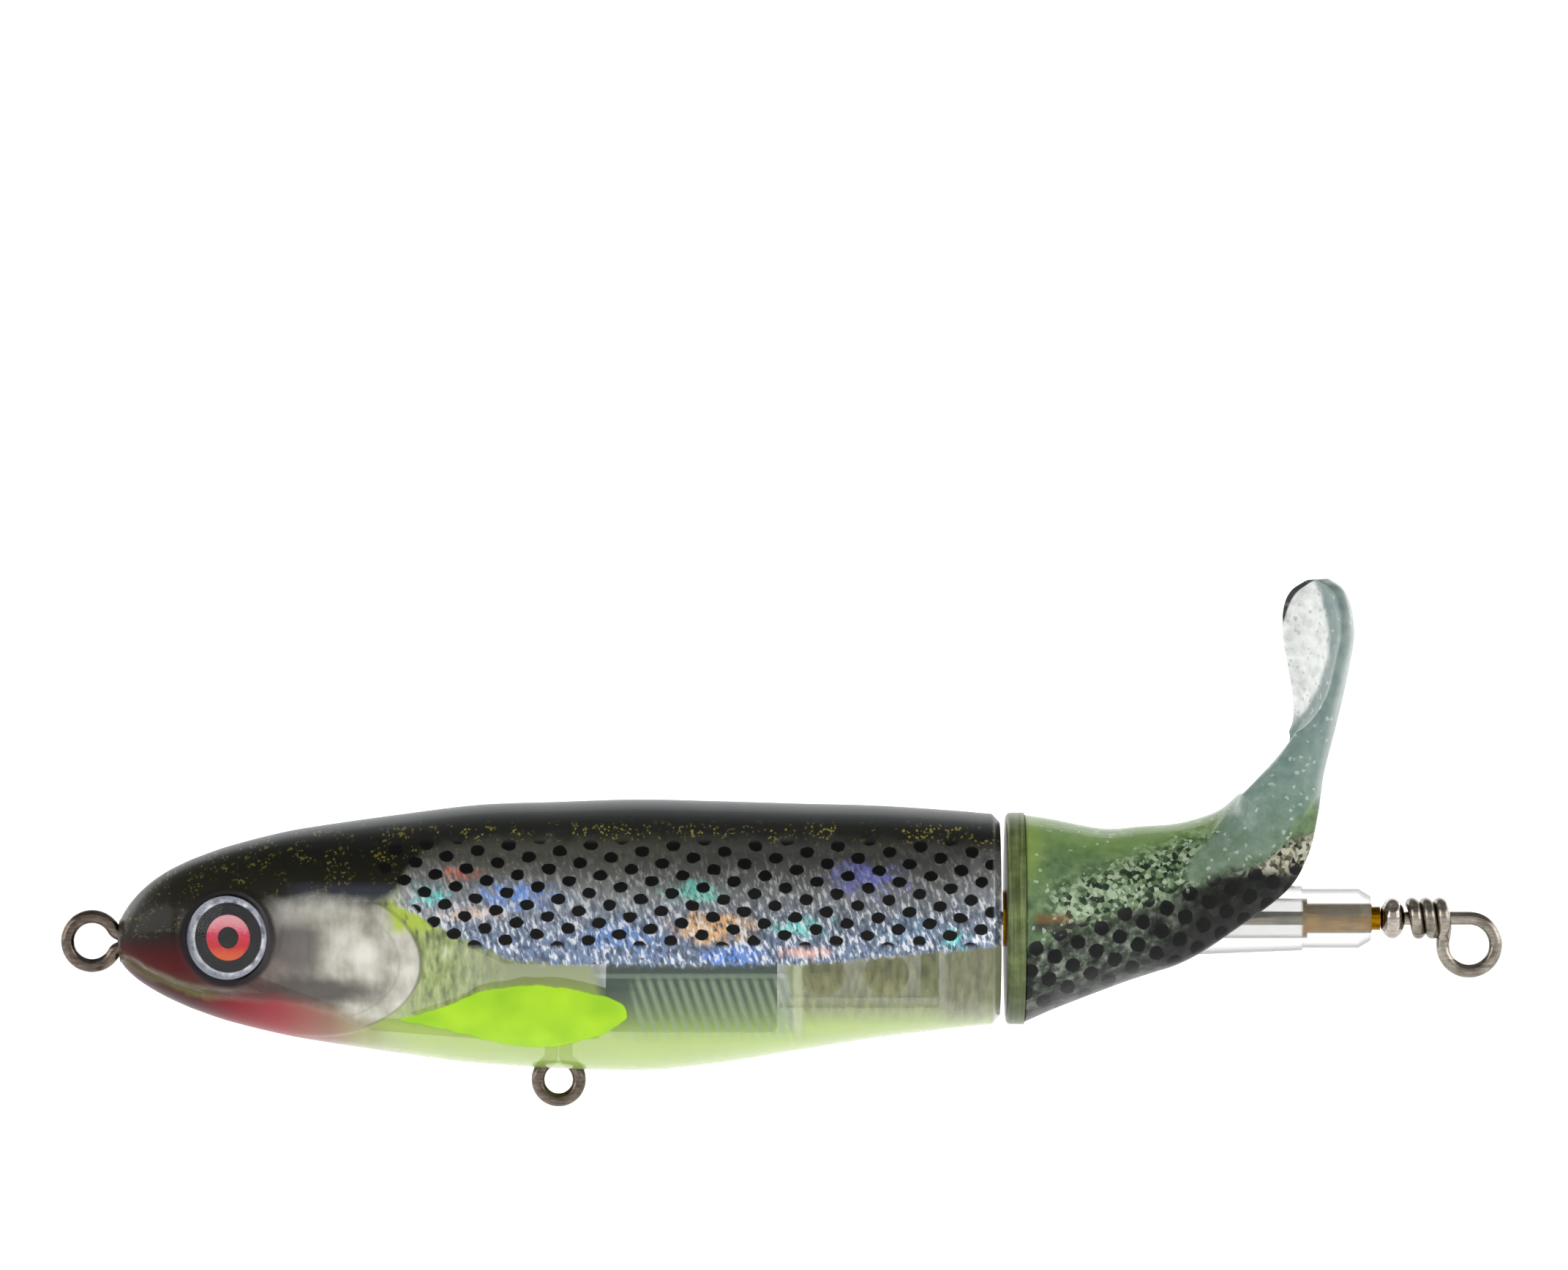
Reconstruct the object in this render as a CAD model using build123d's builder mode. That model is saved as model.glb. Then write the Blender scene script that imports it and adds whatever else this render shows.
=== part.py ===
"""A prop-tail topwater lure: a hollow clear body in two halves, and a soft paddle tail that spins on a wire.

Millimetres. X runs from the nose (-) to the tail (+) along the tail's spin axis, Z is up, and Y is across.
The origin is the centre of the line tie, the wire eye at the nose. The lure's left side is at -Y.
"""

from build123d import *
import os
from math import atan2, cos, degrees, hypot, radians, sin, sqrt

# ---------------------------------------------------------------- driving dimensions
LURE_LENGTH = 110.0  # nose tip to the end of the clear tail sleeve
NOSE_X = 2.3
BODY_REAR_X = 79.75
SLEEVE_END_X = LURE_LENGTH + NOSE_X
WALL = 1.5  # body shell
SPIN_Z = 2.0  # height of the tail's spin axis
SPIN_AXIS = Axis((0, 0, SPIN_Z), (1, 0, 0))

WIRE_R = 0.6  # all three eyes are bent from this wire
TRAP_GAP = 0.03  # round parts held between the body halves
RUN_GAP = 0.05  # round parts that turn or slide on the shaft
BOND_GAP = 0.02  # between parts that are glued or moulded together
EYE_LAND = 0.03  # depth of the flat that the forming pin leaves inside a wire eye

# body outline: distance along X, top, bottom, half width
BODY_STATIONS = [
    (NOSE_X, 1.4, -1.3, 1.3),
    (3.4, 3.4, -2.85, 3.0),
    (5.6, 5.5, -4.4, 4.5),
    (9.0, 7.3, -6.0, 5.9),
    (13.5, 8.8, -7.45, 7.1),
    (20.0, 10.15, -8.8, 8.3),
    (28.0, 11.3, -10.0, 9.3),
    (36.0, 12.0, -10.95, 10.0),
    (44.0, 12.4, -11.4, 10.4),
    (52.0, 12.4, -11.1, 10.45),
    (60.0, 12.15, -9.95, 10.2),
    (68.0, 11.95, -8.65, 9.85),
    (74.5, 11.6, -7.8, 9.5),
    (77.8, 11.3, -7.45, 9.3),
    (BODY_REAR_X, 11.15, -7.25, 9.15),
]
CAVITY_FROM_X, CAVITY_TO_X = 9.0, 77.8
NOSE_FILLET = 0.6
REAR_CHAMFER = 0.7

# wire eyes: centre, and radius to the wire's centre line
NOSE_EYE, NOSE_EYE_R = (0.0, 0.0), 2.15  # line tie
BELLY_EYE, BELLY_EYE_R = (41.0, -12.15), 1.8  # front hook hanger
TAIL_EYE_R = 2.32  # rear hook hanger, which hangs below the shaft
TAIL_EYE = (121.0, SPIN_Z - TAIL_EYE_R)
LEG_SPACING = 0.63  # half the distance between an eye's two legs
NECK_FILLET = 0.8
RING_RELIEF, RELIEF_WIDTH = 0.35, 3.0  # scallop under the belly that lets a split ring swing

# through wire inside the body, from the nose eye to the belly eye
HEAD_BEND = (6.0, NOSE_EYE[1] - LEG_SPACING)
BELLY_RUN = [(24.0, -7.2), (BELLY_EYE[0] - LEG_SPACING, -8.5)]
STUB_X, STUB_TOP = 6.8, 3.6
BELLY_TAIL = (44.6, -8.0)
WIRE_BEND = 1.2

# shaft wire
SHAFT_START_X, SHAFT_HOOK_TOP = 63.5, 7.0
SHAFT_BEND = 1.8
WRAP_TURNS, WRAP_PITCH = 2.25, 1.22
WRAP_R = 2 * WIRE_R + 0.03
LOOP_ARC = 280  # degrees of flat loop before the wire leaves for the wraps

# eyes in the head
EYE_X, EYE_Z = 12.1, 0.5
EYE_YAW = 15.0  # the head narrows, so each eye looks this far forward
EYE_R = 3.65
EYE_SURFACE_Y = 6.75
SOCKET_DEPTH = 1.05
EYE_BOSS_R, EYE_BOSS_DEPTH = 4.65, 2.6  # solid plastic behind each socket
EYE_DISC = 0.25
DOME_EDGE, DOME_RISE = 0.35, 0.85

# weights and rattle
BALLAST_R, BALLAST_X, BALLAST_Z, BALLAST_CHAMFER = 3.3, (45.2, 60.2), -4.7, 0.4
HEAD_BALLAST_R, HEAD_BALLAST_X, HEAD_BALLAST_Z, HEAD_BALLAST_FILLET = 3.6, (19.0, 29.5), -0.2, 1.2
CAPSULE_R, CAPSULE_BORE, CAPSULE_X, CAPSULE_Z = 3.0, 2.1, (60.4, 74.4), -2.9
CAPSULE_END, PLUG_DEPTH = 0.8, 1.6
BALL_R, BALL_X = 2.0, (64.2, 69.8)

# webs inside the body: front and rear x, half width, bottom, top
FULL_WIDTH, DEEP, HIGH = 12.0, -14.0, 14.0
WEBS = [
    (20.5, 21.5, FULL_WIDTH, DEEP, HEAD_BALLAST_Z),
    (27.0, 28.0, FULL_WIDTH, DEEP, HEAD_BALLAST_Z),
    (36.5, 45.1, 2.2, DEEP, -7.2),  # round the belly eye's legs
    (47.0, 48.0, FULL_WIDTH, DEEP, BALLAST_Z),
    (58.0, 59.0, FULL_WIDTH, DEEP, BALLAST_Z),
    (61.7, 67.0, 2.6, 0.4, HIGH),  # round the shaft's hook
    (63.5, 64.5, FULL_WIDTH, DEEP, CAPSULE_Z),
    (71.0, 72.0, FULL_WIDTH, DEEP, CAPSULE_Z),
]

# metallised liner, seen through the clear sides
FOIL = 0.15
FOIL_OUTLINE = [(27.0, 9.2), (27.0, 6.5), (32.5, 0.2), (36.5, -1.7), (63.0, -1.7), (77.0, -0.2), (77.0, 9.2)]

# pins that line up the two body halves
PIN_R, PIN_LENGTH = 0.6, 1.4
PIN_SPOTS = [(7.4, -3.2), (38.4, -10.2), (65.6, 4.9), (78.75, 8.0), (78.75, -4.0)]

# spinning tail: collar, clear core, bushings
COLLAR_FRONT_X, COLLAR_REAR_X, COLLAR_R, COLLAR_FILLET = 80.25, 81.85, 9.3, 0.45
CORE_FRONT_X, CORE_TAPER_X, CORE_REAR_X = 80.5, 92.0, 106.3
CORE_R, CORE_REAR_R, CORE_BORE = 3.4, 2.85, 1.75
SLEEVE_R, SLEEVE_TIP_R, SLEEVE_TIP = 2.62, 2.0, 1.0
FRONT_BUSH_R, FRONT_BUSH_FLANGE, FRONT_BUSH_X = 1.5, 2.5, (80.0, 86.0)
REAR_BUSH_R, REAR_BUSH_FLANGE, REAR_BUSH_FLANGE_WIDTH = 1.3, 1.65, 0.4
REAR_BUSH_NOSE_R, REAR_BUSH_END_X = 1.05, 113.15
SLEEVE_PROUD = 0.1  # how far the rear bushing's thick part stands out of the sleeve

# soft tail: spine x, spine z, lean of the spine, twist, half width, half depth
TAIL_STATIONS = [
    (81.9, 2.0, 0, 0, 9.1, 9.05),
    (86.5, 2.4, 3, 0, 8.3, 7.85),
    (91.5, 3.3, 8, 0, 7.3, 6.9),
    (97.0, 5.2, 24, 0, 6.5, 5.7),
    (101.9, 8.9, 48, 6, 5.9, 4.2),
    (105.2, 13.6, 66, 12, 5.3, 2.8),
    (107.4, 19.0, 78, 20, 5.0, 1.15),
    (108.1, 23.6, 87, 32, 5.1, 0.9),
    (108.0, 27.2, 92, 36, 4.9, 0.85),
    (107.8, 30.0, 94, 36, 3.8, 0.8),
    (107.5, 31.8, 96, 36, 2.3, 0.6),
]

# loose parts on the shaft
WASHER_R, WASHER, WASHER_X = 2.6, 0.4, 79.25
WASHER_ROOM = 0.2  # round the washer in its recess
BEAD_R, BEAD_LENGTH = 1.8, 2.1
BEAD_FACE = 0.9  # share of the bead's rounded length left between its flat ends


# ---------------------------------------------------------------- shared shapes
def across_x(x, z=SPIN_Z):
    """The plane across the X axis at x, with its origin at height z."""
    return Plane(origin=(x, 0, z), x_dir=(0, 1, 0), z_dir=(1, 0, 0))


def rod(radius, x_from, x_to, z=SPIN_Z, mode=Mode.ADD):
    """A round bar along X."""
    with BuildSketch(across_x(x_from, z)) as end:
        Circle(radius)
    extrude(end.sketch, amount=x_to - x_from, mode=mode)


def rod_across(radius, centre, length, mode=Mode.ADD):
    """A round bar along Y, centred on Y = 0."""
    with BuildSketch(Plane(origin=(centre[0], 0, centre[1]), x_dir=(1, 0, 0), z_dir=(0, -1, 0))) as end:
        Circle(radius)
    extrude(end.sketch, amount=length / 2, both=True, mode=mode)


def box_between(low, high, mode=Mode.ADD):
    """A box given by two opposite corners."""
    middle = tuple((a + b) / 2 for a, b in zip(low, high))
    with Locations(middle):
        Box(*[b - a for a, b in zip(low, high)], mode=mode)


def body_loft(inset, from_x=NOSE_X, to_x=BODY_REAR_X):
    """The body's outline, shrunk by inset."""
    sections = []
    for x, top, bottom, half_width in BODY_STATIONS:
        if from_x <= x <= to_x:
            with BuildSketch(across_x(x, (top + bottom) / 2)) as section:
                Ellipse(half_width - inset, (top - bottom) / 2 - inset)
            sections.append(section.sketch)
    loft(sections)


def polar(centre, radius, angle):
    """The point at this angle, in degrees, on a circle in the XZ plane."""
    return (centre[0] + radius * cos(radians(angle)), centre[1] + radius * sin(radians(angle)))


def eye_loop(centre, radius, leg_angle):
    """Draws a closed eye with two legs side by side towards leg_angle, and returns the legs' starts."""
    over = LEG_SPACING + NECK_FILLET
    along = sqrt((radius + NECK_FILLET) ** 2 - over**2)
    half_gap = degrees(atan2(over, along))
    half_leg = degrees(atan2(LEG_SPACING, along))
    CenterArc(centre, radius, leg_angle + half_gap, 360 - 2 * half_gap)
    legs = []
    for side in (1, -1):
        leg = polar(centre, hypot(along, LEG_SPACING), leg_angle + side * half_leg)
        RadiusArc(polar(centre, radius, leg_angle + side * half_gap), leg, -side * NECK_FILLET)
        legs.append(leg)
    return legs


def sweep_wire(path, radius):
    """Round wire that follows the path."""
    with BuildSketch(Plane(origin=path @ 0, z_dir=path % 0)) as section:
        Circle(radius)
    sweep(section.sketch, path=path)


def sweep_through_wire(radius):
    """The wire that joins the nose eye to the belly eye."""
    with BuildLine(Plane.XZ) as path:
        upper, lower = eye_loop(NOSE_EYE, NOSE_EYE_R, 0)
        front, rear = eye_loop(BELLY_EYE, BELLY_EYE_R, 90)
        FilletPolyline(upper, (STUB_X, upper[1]), (STUB_X, STUB_TOP), radius=WIRE_BEND)
        FilletPolyline(lower, HEAD_BEND, *BELLY_RUN, front, radius=WIRE_BEND)
        FilletPolyline(rear, (rear[0], BELLY_TAIL[1]), BELLY_TAIL, radius=WIRE_BEND)
    sweep_wire(path.wires()[0], radius)


def shaft_line(to_x):
    """Draws the shaft's line, from its hook inside the body to to_x."""
    hook_top = (SHAFT_START_X, SHAFT_HOOK_TOP)
    FilletPolyline(hook_top, (SHAFT_START_X, SPIN_Z), (to_x, SPIN_Z), radius=SHAFT_BEND)


def cut_eye_land(centre, radius):
    """Cuts the narrow flat that the forming pin leaves round the inside of an eye."""
    rod_across(radius - WIRE_R + EYE_LAND, centre, 2 * WIRE_R, mode=Mode.SUBTRACT)


def eye_plane(side):
    """The plane on the head's surface in which one eye sits. Its normal points out of the head."""
    yaw = radians(EYE_YAW)
    return Plane(
        origin=(EYE_X, side * EYE_SURFACE_Y, EYE_Z),
        x_dir=(cos(yaw), side * sin(yaw), 0),
        z_dir=(-sin(yaw), side * cos(yaw), 0),
    )


def core_outline(gap):
    """The clear core's outer shape, grown by gap."""
    with BuildSketch(Plane.XZ) as outline:
        with BuildLine():
            Polyline(
                (CORE_FRONT_X, SPIN_Z),
                (CORE_FRONT_X, SPIN_Z + CORE_R + gap),
                (CORE_TAPER_X, SPIN_Z + CORE_R + gap),
                (CORE_REAR_X, SPIN_Z + CORE_REAR_R + gap),
                (CORE_REAR_X, SPIN_Z + SLEEVE_R + gap),
                (SLEEVE_END_X - SLEEVE_TIP, SPIN_Z + SLEEVE_R + gap),
                (SLEEVE_END_X, SPIN_Z + SLEEVE_TIP_R + gap),
                (SLEEVE_END_X, SPIN_Z),
                close=True,
            )
        make_face()
    revolve(outline.sketch, axis=SPIN_AXIS)


os.makedirs("parts", exist_ok=True)

# ---------------------------------------------------------------- wires
with BuildPart() as through_wire:
    sweep_through_wire(WIRE_R)
    cut_eye_land(NOSE_EYE, NOSE_EYE_R)
    cut_eye_land(BELLY_EYE, BELLY_EYE_R)
through_wire.part.label = "through_wire"
export_step(through_wire.part, "parts/through_wire.step")

with BuildLine(Plane.XZ) as shaft_and_loop:
    shaft_line(TAIL_EYE[0])
    CenterArc(TAIL_EYE, TAIL_EYE_R, 90, -LOOP_ARC)
loop = shaft_and_loop.edges().sort_by(Axis.X)[-1]
# the wraps wind back along the shaft towards the nose, from the lure's left side
wraps_plane = Plane(origin=((loop @ 1).X, 0, SPIN_Z), x_dir=(0, -1, 0), z_dir=(-1, 0, 0))
wraps = wraps_plane.location * Helix(WRAP_PITCH, WRAP_TURNS * WRAP_PITCH, WRAP_R, mode=Mode.PRIVATE)
with BuildLine() as lead_in:
    Spline(loop @ 1, wraps @ 0, tangents=[loop % 1, wraps % 0])

with BuildPart() as shaft_wire:
    sweep_wire(Wire(shaft_and_loop.edges() + lead_in.edges() + wraps.edges()), WIRE_R)
    cut_eye_land(TAIL_EYE, TAIL_EYE_R)
shaft_wire.part.label = "shaft_wire"
export_step(shaft_wire.part, "parts/shaft_wire.step")

# ---------------------------------------------------------------- body shells
with BuildLine(Plane.XZ) as shaft_inside:
    shaft_line(COLLAR_REAR_X)

with BuildPart() as wire_channels:
    sweep_through_wire(WIRE_R + TRAP_GAP)
    sweep_wire(shaft_inside.wires()[0], WIRE_R + TRAP_GAP)

with BuildPart() as hollow:
    body_loft(WALL, CAVITY_FROM_X, CAVITY_TO_X)
    for front_x, rear_x, half_width, bottom, top in WEBS:
        box_between((front_x, -half_width, bottom), (rear_x, half_width, top), mode=Mode.SUBTRACT)
    for side in (-1, 1):
        with BuildSketch(eye_plane(side)):
            Circle(EYE_BOSS_R)
        extrude(amount=-EYE_BOSS_DEPTH, mode=Mode.SUBTRACT)

with BuildPart() as body_blank:
    body_loft(0)
    ends = body_blank.faces().filter_by(GeomType.PLANE).sort_by(Axis.X)
    fillet(ends[0].edges(), NOSE_FILLET)
    chamfer(ends[-1].edges(), REAR_CHAMFER)
    add(hollow.part, mode=Mode.SUBTRACT)
    add(wire_channels.part, mode=Mode.SUBTRACT)
    for side in (-1, 1):
        with BuildSketch(eye_plane(side).offset(-SOCKET_DEPTH)):
            Circle(EYE_R + TRAP_GAP)
        extrude(amount=EYE_SURFACE_Y, mode=Mode.SUBTRACT)
    rod(HEAD_BALLAST_R + TRAP_GAP, *HEAD_BALLAST_X, HEAD_BALLAST_Z, mode=Mode.SUBTRACT)
    rod(BALLAST_R + TRAP_GAP, *BALLAST_X, BALLAST_Z, mode=Mode.SUBTRACT)
    rod(CAPSULE_R + TRAP_GAP, *CAPSULE_X, CAPSULE_Z, mode=Mode.SUBTRACT)
    rod(WASHER_R + WASHER_ROOM, WASHER_X - TRAP_GAP, BODY_REAR_X, mode=Mode.SUBTRACT)
    rod_across(BELLY_EYE_R - WIRE_R + RING_RELIEF, BELLY_EYE, RELIEF_WIDTH, mode=Mode.SUBTRACT)

with BuildPart() as left_shell:
    add(body_blank.part)
    split(bisect_by=Plane.XZ, keep=Keep.TOP)
    with BuildSketch(Plane.XZ):
        with Locations(*PIN_SPOTS):
            Circle(PIN_R)
    extrude(amount=-PIN_LENGTH)
left_shell.part.label = "left_shell"
export_step(left_shell.part, "parts/left_shell.step")

with BuildPart() as right_shell:
    add(body_blank.part)
    split(bisect_by=Plane.XZ, keep=Keep.BOTTOM)
    with BuildSketch(Plane.XZ):
        with Locations(*PIN_SPOTS):
            Circle(PIN_R + RUN_GAP)
    extrude(amount=-PIN_LENGTH - RUN_GAP, mode=Mode.SUBTRACT)
right_shell.part.label = "right_shell"
export_step(right_shell.part, "parts/right_shell.step")

# ---------------------------------------------------------------- liner inside the body
with BuildPart() as liner:
    body_loft(WALL + TRAP_GAP, CAVITY_FROM_X, CAVITY_TO_X)
with BuildPart() as liner_inside:
    body_loft(WALL + TRAP_GAP + FOIL, CAVITY_FROM_X, CAVITY_TO_X)

for side, name in ((-1, "left_foil"), (1, "right_foil")):
    with BuildPart() as foil:
        add(liner.part)
        add(liner_inside.part, mode=Mode.SUBTRACT)
        with BuildSketch(Plane.XZ):
            with BuildLine():
                Polyline(*FOIL_OUTLINE, close=True)
            make_face()
        extrude(amount=-side * FULL_WIDTH, mode=Mode.INTERSECT)
    foil.part.label = name
    export_step(foil.part, f"parts/{name}.step")

# ---------------------------------------------------------------- weights and rattle
with BuildPart() as belly_ballast:
    rod(BALLAST_R, *BALLAST_X, BALLAST_Z)
    chamfer(belly_ballast.edges().filter_by(GeomType.CIRCLE), BALLAST_CHAMFER)
belly_ballast.part.label = "belly_ballast"
export_step(belly_ballast.part, "parts/belly_ballast.step")

with BuildPart() as head_ballast:
    rod(HEAD_BALLAST_R, *HEAD_BALLAST_X, HEAD_BALLAST_Z)
    fillet(head_ballast.edges().filter_by(GeomType.CIRCLE), HEAD_BALLAST_FILLET)
head_ballast.part.label = "head_ballast"
export_step(head_ballast.part, "parts/head_ballast.step")

with BuildPart() as rattle_capsule:
    rod(CAPSULE_R, *CAPSULE_X, CAPSULE_Z)
    rod(CAPSULE_BORE, CAPSULE_X[0] + CAPSULE_END, CAPSULE_X[1], CAPSULE_Z, mode=Mode.SUBTRACT)
rattle_capsule.part.label = "rattle_capsule"
export_step(rattle_capsule.part, "parts/rattle_capsule.step")

with BuildPart() as capsule_plug:
    rod(CAPSULE_BORE - BOND_GAP, CAPSULE_X[1] - PLUG_DEPTH, CAPSULE_X[1], CAPSULE_Z)
capsule_plug.part.label = "capsule_plug"
export_step(capsule_plug.part, "parts/capsule_plug.step")

for x, name in zip(BALL_X, ("front_rattle_ball", "rear_rattle_ball")):
    with BuildPart() as ball:
        with Locations((x, 0, CAPSULE_Z)):
            Sphere(BALL_R)
    ball.part.label = name
    export_step(ball.part, f"parts/{name}.step")

# ---------------------------------------------------------------- eyes
for side, word in ((-1, "left"), (1, "right")):
    disc_plane = eye_plane(side).offset(BOND_GAP - SOCKET_DEPTH)
    with BuildPart() as eye_disc:
        with BuildSketch(disc_plane):
            Circle(EYE_R)
        extrude(amount=EYE_DISC)
    eye_disc.part.label = f"{word}_eye_disc"
    export_step(eye_disc.part, f"parts/{word}_eye_disc.step")

    dome_plane = disc_plane.offset(EYE_DISC + BOND_GAP)
    sideways = dome_plane.x_dir.cross(dome_plane.z_dir)
    half_section = Plane(dome_plane.origin, x_dir=dome_plane.x_dir, z_dir=sideways)
    with BuildPart() as eye_dome:
        with BuildSketch(half_section):
            with BuildLine():
                Polyline((0, DOME_EDGE + DOME_RISE), (0, 0), (EYE_R, 0), (EYE_R, DOME_EDGE))
                TangentArc((0, DOME_EDGE + DOME_RISE), (EYE_R, DOME_EDGE), tangent=(1, 0))
            make_face()
        revolve(axis=Axis(dome_plane.origin, dome_plane.z_dir))
    eye_dome.part.label = f"{word}_eye_dome"
    export_step(eye_dome.part, f"parts/{word}_eye_dome.step")

# ---------------------------------------------------------------- spinning tail
with BuildPart() as tail_core:
    core_outline(0)
    rod(FRONT_BUSH_R + BOND_GAP, CORE_FRONT_X, FRONT_BUSH_X[1], mode=Mode.SUBTRACT)
    rod(CORE_BORE, FRONT_BUSH_X[1], CORE_REAR_X + REAR_BUSH_FLANGE_WIDTH + RUN_GAP, mode=Mode.SUBTRACT)
    rod(REAR_BUSH_R + BOND_GAP, CORE_REAR_X, SLEEVE_END_X, mode=Mode.SUBTRACT)
tail_core.part.label = "tail_core"
export_step(tail_core.part, "parts/tail_core.step")

with BuildPart() as core_space:
    core_outline(BOND_GAP)

with BuildPart() as tail_collar:
    rod(COLLAR_R, COLLAR_FRONT_X, COLLAR_REAR_X)
    fillet(tail_collar.edges().filter_by(GeomType.CIRCLE).sort_by(Axis.X)[0], COLLAR_FILLET)
    add(core_space.part, mode=Mode.SUBTRACT)
    rod(FRONT_BUSH_FLANGE + RUN_GAP, COLLAR_FRONT_X, COLLAR_REAR_X, mode=Mode.SUBTRACT)
tail_collar.part.label = "tail_collar"
export_step(tail_collar.part, "parts/tail_collar.step")

with BuildPart() as soft_tail:
    for x, z, lean, twist, half_width, half_depth in TAIL_STATIONS:
        tilt, turn = radians(lean), radians(twist)
        section = Plane(
            origin=(x, 0, z),
            x_dir=(-sin(turn) * sin(tilt), cos(turn), sin(turn) * cos(tilt)),
            z_dir=(cos(tilt), 0, sin(tilt)),
        )
        with BuildSketch(section):
            Ellipse(half_width, half_depth)
    loft()
    add(core_space.part, mode=Mode.SUBTRACT)
soft_tail.part.label = "soft_tail"
export_step(soft_tail.part, "parts/soft_tail.step")

with BuildPart() as front_bushing:
    rod(FRONT_BUSH_FLANGE, FRONT_BUSH_X[0], CORE_FRONT_X - BOND_GAP)
    rod(FRONT_BUSH_R, *FRONT_BUSH_X)
    rod(WIRE_R + RUN_GAP, *FRONT_BUSH_X, mode=Mode.SUBTRACT)
front_bushing.part.label = "front_bushing"
export_step(front_bushing.part, "parts/front_bushing.step")

with BuildPart() as rear_bushing:
    rod(REAR_BUSH_FLANGE, CORE_REAR_X, CORE_REAR_X + REAR_BUSH_FLANGE_WIDTH)
    rod(REAR_BUSH_R, CORE_REAR_X, SLEEVE_END_X + SLEEVE_PROUD)
    rod(REAR_BUSH_NOSE_R, CORE_REAR_X, REAR_BUSH_END_X)
    rod(WIRE_R + RUN_GAP, CORE_REAR_X, REAR_BUSH_END_X, mode=Mode.SUBTRACT)
rear_bushing.part.label = "rear_bushing"
export_step(rear_bushing.part, "parts/rear_bushing.step")

# ---------------------------------------------------------------- loose parts on the shaft
with BuildPart() as thrust_washer:
    rod(WASHER_R, WASHER_X, WASHER_X + WASHER)
    rod(WIRE_R + RUN_GAP, WASHER_X, WASHER_X + WASHER, mode=Mode.SUBTRACT)
thrust_washer.part.label = "thrust_washer"
export_step(thrust_washer.part, "parts/thrust_washer.step")

bead_from_x = REAR_BUSH_END_X + RUN_GAP
bead_to_x = bead_from_x + BEAD_LENGTH
with BuildPart() as thrust_bead:
    with BuildSketch(Plane.XZ):
        with Locations(((bead_from_x + bead_to_x) / 2, SPIN_Z)):
            Ellipse(BEAD_LENGTH / 2 / BEAD_FACE, BEAD_R)
        with Locations((bead_from_x, SPIN_Z)):
            Rectangle(BEAD_LENGTH, BEAD_R, align=Align.MIN, mode=Mode.INTERSECT)
    revolve(axis=SPIN_AXIS)
    rod(WIRE_R + RUN_GAP, bead_from_x, bead_to_x, mode=Mode.SUBTRACT)
thrust_bead.part.label = "thrust_bead"
export_step(thrust_bead.part, "parts/thrust_bead.step")
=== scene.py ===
"""Looks of the prop-tail topwater lure: painted clear skins, printed eyes, metal parts and a soft tail.

Blender works in metres. Sizes here are in millimetres, in the CAD frame. The helpers turn them into metres.
"""

from math import asin, cos, hypot, pi, radians, sin
from types import SimpleNamespace

import bmesh
import bpy
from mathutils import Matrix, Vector
from mathutils.bvhtree import BVHTree


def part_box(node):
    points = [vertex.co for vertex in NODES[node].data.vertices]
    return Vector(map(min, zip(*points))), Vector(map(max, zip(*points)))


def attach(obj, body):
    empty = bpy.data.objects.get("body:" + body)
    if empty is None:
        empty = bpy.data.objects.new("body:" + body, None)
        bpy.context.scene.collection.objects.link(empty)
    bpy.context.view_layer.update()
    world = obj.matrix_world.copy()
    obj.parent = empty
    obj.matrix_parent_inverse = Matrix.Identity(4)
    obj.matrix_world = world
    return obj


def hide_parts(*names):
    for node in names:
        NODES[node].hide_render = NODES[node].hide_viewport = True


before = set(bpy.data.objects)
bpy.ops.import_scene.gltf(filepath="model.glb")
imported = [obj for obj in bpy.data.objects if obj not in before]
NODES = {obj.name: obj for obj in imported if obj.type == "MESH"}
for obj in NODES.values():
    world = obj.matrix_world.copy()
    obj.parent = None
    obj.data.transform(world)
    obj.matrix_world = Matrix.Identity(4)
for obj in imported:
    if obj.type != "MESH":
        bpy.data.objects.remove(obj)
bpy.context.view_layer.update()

MM = 0.001


def box_mm(node):
    """The lowest and highest corner of a CAD node, in millimetres."""
    low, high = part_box(node)
    return low / MM, high / MM


# -------- driving dimensions, mm
SHELL_LOW, SHELL_HIGH = box_mm("right_shell")
NOSE_X, REAR_X = SHELL_LOW.x, SHELL_HIGH.x
WASHER_LOW, WASHER_HIGH = box_mm("thrust_washer")
SPIN_Z = (WASHER_LOW.z + WASHER_HIGH.z) / 2
WASHER_R = (WASHER_HIGH.z - WASHER_LOW.z) / 2
DISC_LOW, DISC_HIGH = box_mm("left_eye_disc")
EYE_X, EYE_Z = (DISC_LOW.x + DISC_HIGH.x) / 2, (DISC_LOW.z + DISC_HIGH.z) / 2
EYE_Y = (DISC_LOW.y + DISC_HIGH.y) / 2
EYE_R = (DISC_HIGH.z - DISC_LOW.z) / 2
EYE_YAW = radians(15)

SEAM_GAP = 0.01  # from the middle plane to each skin
SEAM_GROOVE, SEAM_SPREAD = 0.07, 0.012  # depth of the groove along the seam, and its spread in radians
SKIN = 1.2  # thickness of each painted skin
NOSE_WALL, REAR_WALL = 2.6, 1.2  # from the skin's ends to the space inside
EYE_WALL = 1.5  # extra thickness behind the eye
WIRE_HOLE_R = 0.68
WASHER_CLEARANCE = 0.25
REAR_BOSS = 0.12  # how far the skins' rear face stands out behind the shell, inside its rim
SOCKET_R, SOCKET_RIM_R, SOCKET_RIM = EYE_R + 0.06, EYE_R + 0.5, 0.13
SOCKET_FLOOR = 0.16  # from the middle of the printed disc back to the socket's floor


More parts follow.
